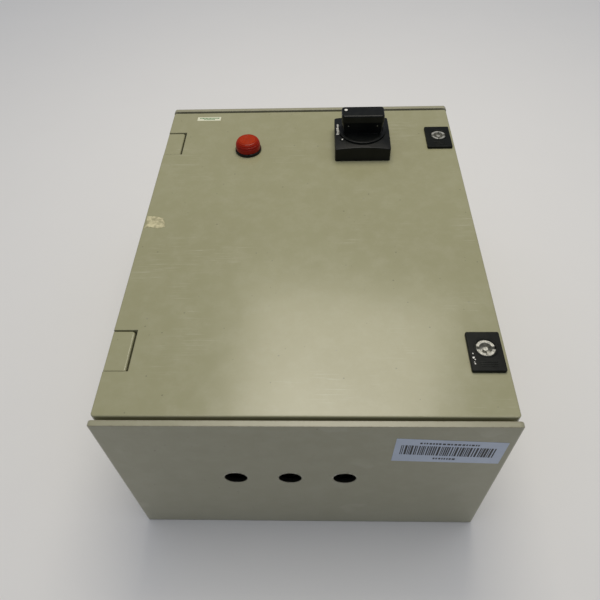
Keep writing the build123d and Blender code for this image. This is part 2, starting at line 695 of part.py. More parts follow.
def terminal_row(xs, width, screw_points):
    """Add terminals side by side on their rail, with screw wells and wire entries."""
    for x in xs:
        slab(x - width / 2, x + width / 2, terminal_y - terminal_length / 2,
             terminal_y + terminal_length / 2, device_bottom, terminal_front - 6.0)
        slab(x - width / 2, x + width / 2, terminal_y - terminal_length / 2 + 3.0,
             terminal_y + terminal_length / 2 - 3.0, terminal_front - 6.0, terminal_front)
    rail_channel(xs[0] - width, xs[-1] + width, terminal_y)
    rods(screw_points, terminal_front - terminal_well, terminal_front, 2.9, Mode.SUBTRACT)
    rods(screw_points, terminal_front - 11.0, terminal_front - terminal_well, 1.6, Mode.SUBTRACT)
    end_bores(xs, terminal_wire_z, terminal_y - terminal_length / 2, 8.0, power_wire_radius + wire_bore_gap)
    end_bores(xs, terminal_wire_z, terminal_y + terminal_length / 2, -8.0, power_wire_radius + wire_bore_gap)


with BuildPart() as terminal_blocks:
    terminal_row(terminal_xs, terminal_width, terminal_screw_points)
finish(terminal_blocks, "terminal_blocks")

with BuildPart() as earth_terminals:
    terminal_row(earth_xs, earth_width, earth_screw_points)
finish(earth_terminals, "earth_terminals")

stop_width = 9.0
stop_xs = [terminal_xs[0] - terminal_width / 2 - 0.2 - stop_width / 2,
           earth_xs[-1] + earth_width / 2 + 0.2 + stop_width / 2]
with BuildPart() as end_stops:
    for x in stop_xs:
        slab(x - stop_width / 2, x + stop_width / 2, terminal_y - 21.0, terminal_y + 21.0,
             device_bottom, rail_top + 14.0)
    rail_channel(stop_xs[0] - stop_width, stop_xs[-1] + stop_width, terminal_y)
    rods([(x, terminal_y) for x in stop_xs], rail_top, rail_top + 14.0, 2.05, Mode.SUBTRACT)
    rods([(x, terminal_y) for x in stop_xs], rail_top + 11.0, rail_top + 14.0, 3.4, Mode.SUBTRACT)
finish(end_stops, "end_stops")

with BuildPart() as terminal_screws:
    seat = terminal_front - terminal_well
    screws(terminal_screw_points + earth_screw_points, seat, 2.6, 2.0, 1.55,
           seat - terminal_wire_z - power_wire_radius - screw_tip_gap)
    screws([(x, terminal_y) for x in stop_xs], rail_top + 11.0, 3.2, 2.0, 2.0, 9.5)
finish(terminal_screws, "terminal_screws")

fuse_left = fuse_x - fuse_width / 2
fuse_right = fuse_x + fuse_width / 2
fuse_seat = rail_top + 24.0
fuse_front = rail_top + 44.0
fuse_half = 39.0
fuse_wire_z = fuse_seat - 8.0
with BuildPart() as fuse_holder:
    slab(fuse_left, fuse_right, cy - fuse_half, cy + fuse_half, device_bottom, fuse_seat)
    slab(fuse_left, fuse_right, cy - 22.5, cy + 22.5, fuse_seat, fuse_front)
    fillet(fuse_holder.edges().filter_by(Axis.Z), 0.8)
    rail_channel(fuse_left, fuse_right, cy)
    slab(fuse_x - 6.5, fuse_x + 6.5, cy - 18.0, cy + 18.0, fuse_front - 12.0, fuse_front,
         Mode.SUBTRACT)
    end_bores([fuse_x], fuse_wire_z, cy - fuse_half, 8.0, control_wire_radius + wire_bore_gap)
    end_bores([fuse_x], fuse_wire_z, cy + fuse_half, -8.0, control_wire_radius + wire_bore_gap)
finish(fuse_holder, "fuse_holder")

with BuildPart() as fuse_carrier:
    slab(fuse_x - 6.2, fuse_x + 6.2, cy - 17.7, cy + 17.7, fuse_front - 12.0, fuse_front + 1.5)
    slab(fuse_x - 6.2, fuse_x + 6.2, cy + 11.0, cy + 17.7, fuse_front + 1.5, fuse_front + 7.0)
    fillet(fuse_carrier.edges().filter_by(Axis.X).group_by(Axis.Z)[-1], 1.2)
finish(fuse_carrier, "fuse_carrier")


# ================================================================ wiring
terminal_low = terminal_y - terminal_length / 2
terminal_high = terminal_y + terminal_length / 2
lane_z = rail_top + power_wire_radius + 1.7
with BuildPart() as supply_wires:
    for i, (x_low, x_high) in enumerate(zip(supply_xs, reversed(phase_xs))):
        lane = handle_x - device_width / 2 - 12.0 - wire_lane * (2 - i)
        top = breaker_high + 12.0 + wire_lane * (2 - i)
        wire([(x_low, terminal_high - wire_in, terminal_wire_z),
              (x_low, terminal_high + 14.0, terminal_wire_z),
              (lane, terminal_high + 40.0, terminal_wire_z - 13.0),
              (lane, terminal_high + 84.0, lane_z),
              (lane - 1.0, terminal_high + 132.0, lane_z),
              (lane, terminal_high + 180.0, lane_z),
              (lane + 1.0, breaker_y - 8.0, lane_z),
              (lane, breaker_high - 20.0, lane_z + 5.0),
              (lane + 1.0, top, breaker_wire_z - 4.0),
              (x_high, top, breaker_wire_z),
              (x_high, breaker_high - wire_in, breaker_wire_z)],
             power_wire_radius, "supply wire")
finish(supply_wires, "supply_wires")

with BuildPart() as link_wires:
    for x in phase_xs:
        wire([(x, breaker_low + wire_in, breaker_wire_z),
              (x, breaker_low - 3.0, breaker_wire_z),
              (x, contactor_high + 3.0, contact_wire_z),
              (x, contactor_high - contact_wire_in, contact_wire_z)],
             power_wire_radius, "link wire")
finish(link_wires, "link_wires")

with BuildPart() as motor_wires:
    for x_high, x_low in zip(phase_xs, motor_xs):
        wire([(x_high, overload_low_y + wire_in, relay_wire_z),
              (x_high, overload_low_y - 9.0, relay_wire_z),
              ((x_high + x_low) / 2, overload_low_y - 26.0, relay_wire_z - 6.0),
              (x_low, terminal_high + 12.0, terminal_wire_z),
              (x_low, terminal_high - wire_in, terminal_wire_z)],
             power_wire_radius, "motor wire")
finish(motor_wires, "motor_wires")

with BuildPart() as control_wires:
    # fuse holder down to a control terminal
    wire([(fuse_x, cy - fuse_half + wire_in, fuse_wire_z),
          (fuse_x, cy - fuse_half - 13.0, fuse_wire_z),
          (fuse_x - 3.0, cy - fuse_half - 44.0, fuse_wire_z - 3.0),
          (fuse_x + 2.0, terminal_high + 40.0, fuse_wire_z + 2.0),
          (control_xs[1], terminal_high + 16.0, terminal_wire_z),
          (control_xs[1], terminal_high - wire_in, terminal_wire_z)],
         control_wire_radius, "control wire")
    # fuse holder up and across to the side of the breaker
    wire([(fuse_x, cy + fuse_half - wire_in, fuse_wire_z),
          (fuse_x, cy + fuse_half + 9.0, fuse_wire_z),
          (fuse_x + 4.0, cy + fuse_half + 26.0, fuse_wire_z + 6.0),
          (fuse_x + 16.0, breaker_y - 8.0, fuse_wire_z + 14.0),
          (breaker_left - 10.0, breaker_y, fuse_wire_z + 18.0),
          (breaker_left, breaker_y, fuse_wire_z + 18.0)],
         control_wire_radius, "control wire")
finish(control_wires, "control_wires")

# lead of the pilot light: case side, free loop at the hinge side, door side
clip_x = 8.0 - plate_x
clip_y = pilot_y - 118.6       # far enough below the pilot light for a loose loop
clip_z = plate_top + 7.0
lead_start_x = control_xs[0]
loop_end = Vector(clip_x + 6.0, pilot_y - 24.0, door_under - 6.0)
with BuildPart() as case_lead:
    wire([(lead_start_x, terminal_low + wire_in, terminal_wire_z),
          (lead_start_x, terminal_low - 15.0, terminal_wire_z - 1.0),
          (lead_start_x - 22.0, terminal_low - 30.0, terminal_wire_z - 10.0),
          (lead_start_x - 58.0, terminal_low - 28.0, clip_z + 6.0),
          (lead_start_x - 96.0, terminal_low - 10.0, clip_z + 1.0),
          (clip_x + 1.0, terminal_low + 24.0, clip_z),
          (clip_x + 1.0, terminal_y + 50.0, clip_z),
          (clip_x, clip_y - 48.0, clip_z),
          (clip_x, clip_y, clip_z)],
         lead_radius, "case lead")
finish(case_lead, "case_lead")

with BuildPart() as hinge_lead:
    wire([(clip_x, clip_y, clip_z),
          (clip_x, clip_y + 18.0, clip_z),
          (clip_x - 1.0, clip_y + 38.0, clip_z + 32.0),
          (clip_x - 2.0, clip_y + 46.0, clip_z + 78.0),
          (clip_x - 1.0, clip_y + 50.0, clip_z + 122.0),
          (clip_x + 3.0, clip_y + 64.0, loop_end.Z - 3.0),
          (loop_end.X, loop_end.Y - 10.0, loop_end.Z),
          tuple(loop_end)],
         lead_radius, "hinge lead")
finish(hinge_lead, "hinge_lead")

lamp_top = case_depth - pilot_neck_depth
lamp_bottom = lamp_top - lamp_block_depth
lamp_left = pilot_x - lamp_block_width / 2
with BuildPart() as door_lead:
    wire([tuple(loop_end),
          (loop_end.X, loop_end.Y + 16.0, loop_end.Z),
          (loop_end.X + 8.0, pilot_y + 6.0, loop_end.Z - 2.0),
          (lamp_left - 12.0, pilot_y + 4.0, loop_end.Z - 12.0),
          (lamp_left - 8.0, pilot_y, lamp_bottom + 9.0),
          (lamp_left + 5.0, pilot_y, lamp_bottom + 9.0)],
         lead_radius, "door lead")
finish(door_lead, "door_lead")

with BuildPart() as case_clip:
    slab(clip_x - 5.0, clip_x + 5.0, clip_y - 9.0, clip_y - 1.0, plate_top, clip_z + 5.0, Mode.ADD, 1.0)
    end_bores([clip_x], clip_z, clip_y - 9.0, 8.0, lead_radius + 0.05)
finish(case_clip, "case_clip")

with BuildPart() as door_clip:
    slab(loop_end.X - 5.0, loop_end.X + 5.0, loop_end.Y + 0.5, loop_end.Y + 7.5,
         loop_end.Z - 4.5, door_under, Mode.ADD, 1.0)
    end_bores([loop_end.X], loop_end.Z, loop_end.Y + 0.5, 7.0, lead_radius + 0.05)
finish(door_clip, "door_clip")


# ================================================================ door
cut_right = block_right + hinge_side_gap
cut_half = hinge_block_length / 2 + hinge_end_gap
lock_points = [(lock_axis_x, y + lock_axis_up) for y in lock_ys.values()]
handle_screw_points = [(handle_x + sx * handle_screw_pitch / 2, handle_y + sy * handle_screw_pitch / 2)
                       for sx in (-1, 1) for sy in (-1, 1)]

with BuildPart() as door:
    with BuildSketch(Plane.XY.offset(door_bottom)):
        RectangleRounded(2 * door_x, 2 * door_y, door_corner)
    extrude(amount=case_depth - door_bottom)
    fillet(door.faces().sort_by(Axis.Z)[-1].edges(), door_edge_radius)
    slab(door_skirt - door_x, door_x - door_skirt, door_skirt - door_y, door_y - door_skirt,
         door_bottom, door_under, Mode.SUBTRACT, 1.0)
    # channel that holds the gasket
    for inner in (-1, 1):
        reach = inner * (gasket_width / 2 + channel_gap + channel_rib / 2)
        with BuildSketch(Plane.XY.offset(door_under - channel_rib_height)):
            RectangleRounded(2 * (rib_x + reach) + channel_rib, 2 * (rib_y + reach) + channel_rib, 8.0)
            RectangleRounded(2 * (rib_x + reach) - channel_rib, 2 * (rib_y + reach) - channel_rib, 7.0,
                             mode=Mode.SUBTRACT)
        extrude(amount=channel_rib_height)
    for y in hinge_ys:
        # lugs above and below each hinge block, joined by a web inside
        for s in (-1, 1):
            y0, y1 = sorted((y + s * cut_half, y + s * (cut_half + hinge_lug)))
            slab(-door_x + 0.5, cut_right + 5.0, y0, y1, door_bottom, door_under)
        slab(cut_right + 2.4, cut_right + 4.9, y - cut_half, y + cut_half,
             door_bottom + 1.5, door_under)
        slab(-half_width - 1, cut_right, y - cut_half, y + cut_half, door_bottom - 1,
             case_depth + 1, Mode.SUBTRACT)
    for y in hinge_ys:
        with BuildSketch(Plane.XZ.offset(-y)) as pin_hole:
            with Locations((pin_x, pin_z)):
                Circle(hinge_pin_radius + hinge_running)
        extrude(pin_hole.sketch, amount=pin_half, both=True, mode=Mode.SUBTRACT)
    rods(lock_points, door_under, case_depth, lock_neck_radius + lock_hole_gap, Mode.SUBTRACT)
    rods([(handle_x, handle_y), (pilot_x, pilot_y)], door_under, case_depth, panel_hole_radius,
         Mode.SUBTRACT)
    rods(handle_screw_points, door_under, case_depth, 2.2, Mode.SUBTRACT)
finish(door, "door")

with BuildPart() as door_gasket:
    with BuildSketch(Plane.XY.offset(gasket_bottom)):
        RectangleRounded(2 * rib_x + gasket_width, 2 * rib_y + gasket_width, 7.0)
        RectangleRounded(2 * rib_x - gasket_width, 2 * rib_y - gasket_width, 6.5, mode=Mode.SUBTRACT)
    extrude(amount=gasket_thickness)
    fillet(door_gasket.faces().sort_by(Axis.Z)[0].edges(), 1.2)
finish(door_gasket, "door_gasket")


# ================================================================ locks
for name, middle_y in lock_ys.items():
    ax, ay = lock_axis_x, middle_y + lock_axis_up
    face = case_depth + lock_plate
    with BuildPart() as lock_housing:
        slab(lock_x - lock_width / 2, lock_x + lock_width / 2, middle_y - lock_length / 2,
             middle_y + lock_length / 2, case_depth, face, Mode.ADD, 1.5)
        fillet(lock_housing.faces().sort_by(Axis.Z)[-1].edges(), 0.8)
        rods([(ax, ay)], case_depth - lock_neck_depth, case_depth, lock_neck_radius)
        rods([(ax, ay)], face - barrel_height - 0.2, face, barrel_radius + barrel_running,
             Mode.SUBTRACT)
        rods([(ax, ay)], case_depth - lock_neck_depth, face, spindle_radius + barrel_running,
             Mode.SUBTRACT)
    finish(lock_housing, "lock_housing_" + name)

    with BuildPart() as lock_barrel:
        rods([(ax, ay)], face - barrel_height, face - 0.4, barrel_radius)
        chamfer(lock_barrel.faces().sort_by(Axis.Z)[-1].edges(), 0.3)
        recess = barrel_radius - barrel_rim
        rods([(ax, ay)], face - barrel_height + 1.5, face, recess, Mode.SUBTRACT)
        rods([(ax, ay)], face - barrel_height, face - 1.4, key_pin_radius)
        for s in (-1, 1):
            x0, x1 = sorted((ax + s * (recess - 0.3), ax + s * (barrel_radius + 1)))
            slab(x0, x1, ay - 1.5, ay + 1.5, face - 3.2, face, Mode.SUBTRACT)
        slab(ax - 0.8, ax + 0.8, ay - barrel_radius - 1, ay - recess + 0.3, face - 2.4, face,
             Mode.SUBTRACT)
        rods([(ax, ay)], cam_top, face - barrel_height, spindle_radius)
        slab(ax - spindle_square / 2, ax + spindle_square / 2, ay - spindle_square / 2,
             ay + spindle_square / 2, cam_bottom + 0.3, cam_top)
        rods([(ax, ay)], cam_bottom, cam_top + 6.0, 1.95, Mode.SUBTRACT)
    finish(lock_barrel, "lock_barrel_" + name)

    with BuildPart() as lock_cam:
        with BuildSketch(Plane.XY.offset(cam_bottom)):
            with Locations((ax, ay)):
                Circle(cam_width / 2)
            with Locations((ax, ay - (cam_reach - 2.0) / 2)):
                Rectangle(cam_width, cam_reach - 2.0)
            with Locations((ax, ay - cam_reach + 3.0)):
                Rectangle(cam_width - 4.0, 6.0)
            with Locations((ax, ay)):
                Rectangle(spindle_square + 0.1, spindle_square + 0.1, mode=Mode.SUBTRACT)
        extrude(amount=cam_thickness)
        rods([(ax, ay)], cam_bottom - 2.4, cam_bottom, 4.6)
        rods([(ax, ay)], cam_bottom, cam_top + 5.5, 1.9)
    finish(lock_cam, "lock_cam_" + name)


# ================================================================ disconnect handle
dial_bottom = case_depth + dial_top - dial_thickness
with BuildPart() as handle_base:
    with BuildSketch(Plane.XY.offset(case_depth)):
        with Locations((handle_x, handle_y)):
            RectangleRounded(handle_size, handle_size, 1.8)
    extrude(amount=handle_height)
    with Locations((handle_x, handle_y, case_depth + handle_height - dome_radius)):
        Sphere(dome_radius, mode=Mode.INTERSECT)
    fillet(handle_base.faces().sort_by(Axis.Z)[-1].edges(), 0.8)
    rods([(handle_x, handle_y)], dial_bottom - dial_gap, case_depth + handle_height + 1,
         dial_radius + dial_gap, Mode.SUBTRACT)
    rods([(handle_x, handle_y)], door_under, case_depth, handle_neck_radius)
    rods([(handle_x, handle_y)], door_under, dial_bottom, hub_radius + hub_running, Mode.SUBTRACT)
    rods(handle_screw_points, case_depth, case_depth + 9.0, 2.02, Mode.SUBTRACT)
finish(handle_base, "handle_base")

with BuildPart() as handle_screws:
    screws(handle_screw_points, door_under, 3.6, 2.4, 2.0, -11.0)
finish(handle_screws, "handle_screws")

socket_top = door_under - 0.3
grip_z = case_depth + grip_shoulder
slide_low = case_depth + 23.5
with BuildPart() as handle_dial:
    rods([(handle_x, handle_y)], dial_bottom, case_depth + dial_top, dial_radius)
    fillet(handle_dial.faces().sort_by(Axis.Z)[-1].edges(), 0.7)
    rods([(handle_x, handle_y)], case_depth + dial_top - dial_recess, case_depth + dial_top,
         dial_radius - dial_rim, Mode.SUBTRACT)
    rods([(handle_x, handle_y)], socket_top, dial_bottom, hub_radius)
    with BuildSketch(Plane.XY.offset(case_depth + dial_top - dial_recess)) as root:
        with Locations((handle_x, handle_y)):
            RectangleRounded(grip_root_length, grip_root_width, 2.0)
    with BuildSketch(Plane.XY.offset(grip_z)) as shoulder:
        with Locations((handle_x, handle_y)):
            RectangleRounded(grip_length, grip_width, 3.5)
    loft([root.sketch.face(), shoulder.sketch.face()])
    slab(handle_x - grip_length / 2, handle_x + grip_length / 2, handle_y - grip_width / 2,
         handle_y + grip_width / 2, grip_z, case_depth + grip_top, Mode.ADD, 3.5)
    fillet(handle_dial.faces().sort_by(Axis.Z)[-1].edges(), 1.8)
    slab(handle_x - 2.0 - slide_gap, handle_x + grip_length, handle_y - slide_thickness / 2 - slide_gap,
         handle_y + slide_thickness / 2 + slide_gap, slide_low - slide_gap,
         slide_low + slide_width + slide_gap, Mode.SUBTRACT)
finish(handle_dial, "handle_dial")

with BuildPart() as handle_socket:
    rods([(handle_x, handle_y)], socket_mouth, socket_top, socket_radius)
    slab(handle_x - shaft_square / 2 - socket_gap, handle_x + shaft_square / 2 + socket_gap,
         handle_y - shaft_square / 2 - socket_gap, handle_y + shaft_square / 2 + socket_gap,
         socket_mouth, shaft_tip + 3.0, Mode.SUBTRACT)
    chamfer(handle_socket.faces().sort_by(Axis.Z)[0].inner_wires().edges(), 1.5)
finish(handle_socket, "handle_socket")

with BuildPart() as padlock_slide:
    slab(handle_x - 2.0, handle_x - 2.0 + slide_length, handle_y - slide_thickness / 2,
         handle_y + slide_thickness / 2, slide_low, slide_low + slide_width)
    with BuildSketch(Plane.XZ.offset(-handle_y)) as shackle_hole:
        with Locations((handle_x - 2.0 + slide_length - 5.0, slide_low + slide_width / 2)):
            Circle(2.8)
    extrude(shackle_hole.sketch, amount=5, both=True, mode=Mode.SUBTRACT)
finish(padlock_slide, "padlock_slide")


# ================================================================ pilot light
bezel_top = case_depth + bezel_height
with BuildPart() as pilot_bezel:
    rods([(pilot_x, pilot_y)], case_depth, bezel_top, bezel_radius)
    fillet(pilot_bezel.faces().sort_by(Axis.Z)[-1].edges(), 0.8)
    rods([(pilot_x, pilot_y)], lamp_top, case_depth, pilot_neck_radius)
    rods([(pilot_x, pilot_y)], lamp_top, bezel_top, pilot_neck_radius - pilot_neck_wall,
         Mode.SUBTRACT)
finish(pilot_bezel, "pilot_bezel")

lens_top = case_depth + lens_height
with BuildPart() as pilot_lens:
    with BuildSketch(Plane.XZ) as half_section:
        with BuildLine():
            shoulder_z = bezel_top + 5.0
            flat = lens_radius - lens_shoulder
            collar = pilot_neck_radius - pilot_neck_wall - 0.1
            Line((0, lens_top), (flat, lens_top))
            ThreePointArc((flat, lens_top), (lens_radius - 1.7, lens_top - 2.0),
                          (lens_radius - 0.3, shoulder_z))
            Polyline((lens_radius - 0.3, shoulder_z), (lens_radius, bezel_top),
                     (collar, bezel_top), (collar, bezel_top - 5.0),
                     (collar - lens_wall, bezel_top - 5.0),
                     (collar - lens_wall, lens_top - lens_wall),
                     (0, lens_top - lens_wall), (0, lens_top))
        make_face()
    revolve(half_section.sketch, axis=Axis.Z)
pilot_lens.part.position = (pilot_x, pilot_y, 0)
finish(pilot_lens, "pilot_lens")

with BuildPart() as panel_nuts:
    for points, flats, neck, height in (
            (lock_points, lock_nut_flats, lock_neck_radius, lock_nut_height),
            ([(pilot_x, pilot_y)], pilot_nut_flats, pilot_neck_radius, pilot_nut_height)):
        with BuildSketch(Plane.XY.offset(door_under - height)):
            with Locations(*points):
                RegularPolygon(flats / 2, 6, major_radius=False, rotation=30)
                Circle(neck + 0.02, mode=Mode.SUBTRACT)
        extrude(amount=height)
finish(panel_nuts, "panel_nuts")

lamp_screw_points = [(pilot_x + s * 8.0, pilot_y + t * 12.0) for s in (-1, 1) for t in (-1, 1)]
with BuildPart() as pilot_lamp_block:
    slab(lamp_left, pilot_x + lamp_block_width / 2,
         pilot_y - lamp_block_length / 2, pilot_y + lamp_block_length / 2,
         lamp_bottom, lamp_top)
    fillet(pilot_lamp_block.edges().filter_by(Axis.Z), 1.0)
    with BuildSketch(Plane.YZ.offset(lamp_left)) as lead_hole:
        with Locations((pilot_y, lamp_bottom + 9.0)):
            Circle(lead_radius + 0.4)
    extrude(lead_hole.sketch, amount=7.0, mode=Mode.SUBTRACT)
    rods(lamp_screw_points, lamp_bottom, lamp_bottom + 3.0, 3.0,
         Mode.SUBTRACT)
    rods(lamp_screw_points, lamp_bottom + 3.0, lamp_bottom + 7.0, 1.6,
         Mode.SUBTRACT)
finish(pilot_lamp_block, "pilot_lamp_block")

with BuildPart() as pilot_led:
    rods([(pilot_x, pilot_y)], lamp_top, case_depth - 1.0, 4.2)
    fillet(pilot_led.faces().sort_by(Axis.Z)[-1].edges(), 2.5)
finish(pilot_led, "pilot_led")

with BuildPart() as pilot_screws:
    screws(lamp_screw_points, lamp_bottom + 3.0, 2.6, 1.8, 1.55, -3.5)
finish(pilot_screws, "pilot_screws")
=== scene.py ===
"""Looks of an enclosed magnetic motor starter, built round its packed frame.

Every length is in metres, in the frame of the packed part: the origin is the centre of the
case's back face, +X goes to the right of the door, +Y to the case's top end, +Z out of the door.
"""
from __future__ import annotations

import json
import logging
import math
import random
from dataclasses import dataclass, replace
from enum import Enum
from typing import Callable, Sequence

import bmesh
import bpy
from mathutils import Euler, Matrix, Vector, noise


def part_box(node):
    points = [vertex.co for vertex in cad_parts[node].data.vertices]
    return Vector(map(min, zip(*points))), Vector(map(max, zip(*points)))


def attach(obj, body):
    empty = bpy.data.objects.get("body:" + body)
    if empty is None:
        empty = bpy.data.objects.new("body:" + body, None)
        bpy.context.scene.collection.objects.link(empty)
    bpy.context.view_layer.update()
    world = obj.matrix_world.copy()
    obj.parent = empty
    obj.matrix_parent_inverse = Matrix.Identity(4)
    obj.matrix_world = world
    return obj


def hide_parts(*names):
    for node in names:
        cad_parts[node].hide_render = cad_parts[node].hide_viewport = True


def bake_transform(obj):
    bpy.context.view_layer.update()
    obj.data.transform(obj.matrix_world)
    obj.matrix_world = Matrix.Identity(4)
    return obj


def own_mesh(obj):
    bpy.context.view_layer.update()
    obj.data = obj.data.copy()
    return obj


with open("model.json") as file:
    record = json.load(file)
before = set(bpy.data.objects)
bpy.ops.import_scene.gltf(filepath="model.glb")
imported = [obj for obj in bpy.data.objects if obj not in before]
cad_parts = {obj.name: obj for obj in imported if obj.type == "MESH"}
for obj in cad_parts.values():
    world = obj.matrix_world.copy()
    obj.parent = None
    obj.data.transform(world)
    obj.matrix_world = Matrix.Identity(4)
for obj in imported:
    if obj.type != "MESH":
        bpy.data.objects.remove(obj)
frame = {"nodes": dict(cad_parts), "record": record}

LOG = logging.getLogger("starter")
MM = 0.001
SKIN = 0.06 * MM                    # how far a label stands off its surface
SHARP_DEGREES = 35.0                # edges steeper than this stay sharp
UP = Vector((0, 0, 1))
WAVE_PERIOD = 0.31                  # wave texture period, in metres at a scale of one
Socket = bpy.types.NodeSocket
Point = tuple[float, float, float]


# ------------------------------------------------------------------------------ measuring
def low(node: str) -> Vector:
    """Lowest corner of a CAD node."""
    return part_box(node)[0]


def high(node: str) -> Vector:
    """Highest corner of a CAD node."""
    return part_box(node)[1]


def middle(node: str) -> Vector:
    """Centre of a CAD node's box."""
    return (low(node) + high(node)) / 2


def linear(color: str) -> tuple[float, float, float, float]:
    """Turn a colour written as it looks on a screen into the shader's linear values.

    Args:
        color: "#RRGGBB".

    Returns:
        Red, green, blue and a full fourth value.
    """
    parts = [int(color[i:i + 2], 16) / 255 for i in (1, 3, 5)]
    values = [p / 12.92 if p <= 0.04045 else ((p + 0.055) / 1.055) ** 2.4 for p in parts]
    return values[0], values[1], values[2], 1.0


# ------------------------------------------------------------------------------ shader groups
class Effect(Enum):
    """Surface effects that finishes share: group name, output name, and default inputs."""

    MOTTLE = ("mottle", "Mask", {"Scale": 20.0, "Contrast": 1.0})
    GRAIN = ("grain", "Height", {"Scale": 1500.0, "Relief": 0.00002})
    EDGE_WEAR = ("edge_wear", "Mask", {"Radius": 0.0012, "Amount": 0.5})
    DUST = ("dust", "Mask", {"Scale": 60.0, "Amount": 0.3})
    SCUFFS = ("scuffs", "Mask", {"Scale": 30.0, "Amount": 0.3})
    SPECKS = ("specks", "Mask", {"Scale": 180.0, "Amount": 0.3})


class Tree:
    """A node tree with short calls for adding and joining nodes."""

    def __init__(self, tree: bpy.types.NodeTree) -> None:
        """Keep the tree to build in."""
        self.tree = tree

    def add(self, kind: str, *values: object, **settings: object) -> bpy.types.Node:
        """Add a node.

        Args:
            kind: node class name without its ShaderNode prefix.
            *values: sockets or plain values for its inputs, in their order.
            **settings: attributes to set on the node.

        Returns:
            The new node.
        """
        node = self.tree.nodes.new("ShaderNode" + kind)
        for key, value in settings.items():
            setattr(node, key, value)
        for target, value in zip(node.inputs, values):
            self.feed(target, value)
        return node

    def feed(self, target: Socket, value: object) -> None:
        """Link a socket to the target, or write a plain value there."""
        if isinstance(value, bpy.types.NodeSocket):
            self.tree.links.new(value, target)
        else:
            target.default_value = value

    def math(self, operation: str, *values: object, clamp: bool = False) -> Socket:
        """Do one arithmetic step on sockets or numbers and return its result."""
        return self.add("Math", *values, operation=operation, use_clamp=clamp).outputs[0]

    def times(self, *values: object, clamp: bool = False) -> Socket:
        """Multiply two or more values; only the last product is clamped."""
        total = values[0]
        for value in values[1:-1]:
            total = self.math("MULTIPLY", total, value)
        return self.math("MULTIPLY", total, values[-1], clamp=clamp)

    def band(self, value: object, start: float, end: float) -> Socket:
        """Map start..end to 0..1 smoothly, clamped outside."""
        node = self.add("MapRange", value, start, end, interpolation_type="SMOOTHSTEP", clamp=True)
        return node.outputs[0]

    def mix(self, mask: object, first: object, second: object) -> Socket:
        """Mix two colours by a mask and return the mixed colour."""
        node = self.add("Mix", mask, data_type="RGBA")
        self.feed(node.inputs[6], first)
        self.feed(node.inputs[7], second)
        return node.outputs[2]

    def noise(self, coordinates: object, scale: object, detail: float = 4.0,
              rough: float = 0.55, warp: float = 0.0) -> Socket:
        """Fractal noise around one half, at the given number of features per metre."""
        node = self.add("TexNoise", coordinates)
        for label, value in (("Scale", scale), ("Detail", detail), ("Roughness", rough),
                             ("Distortion", warp)):
            self.feed(node.inputs[label], value)
        return node.outputs["Fac"]

    def cells(self, coordinates: object, scale: object, feature: str = "F1") -> bpy.types.Node:
        """Voronoi cells, at the given number of cells per metre."""
        node = self.add("TexVoronoi", coordinates, feature=feature)
        self.feed(node.inputs["Scale"], scale)
        return node


Inputs = dict[str, Socket]


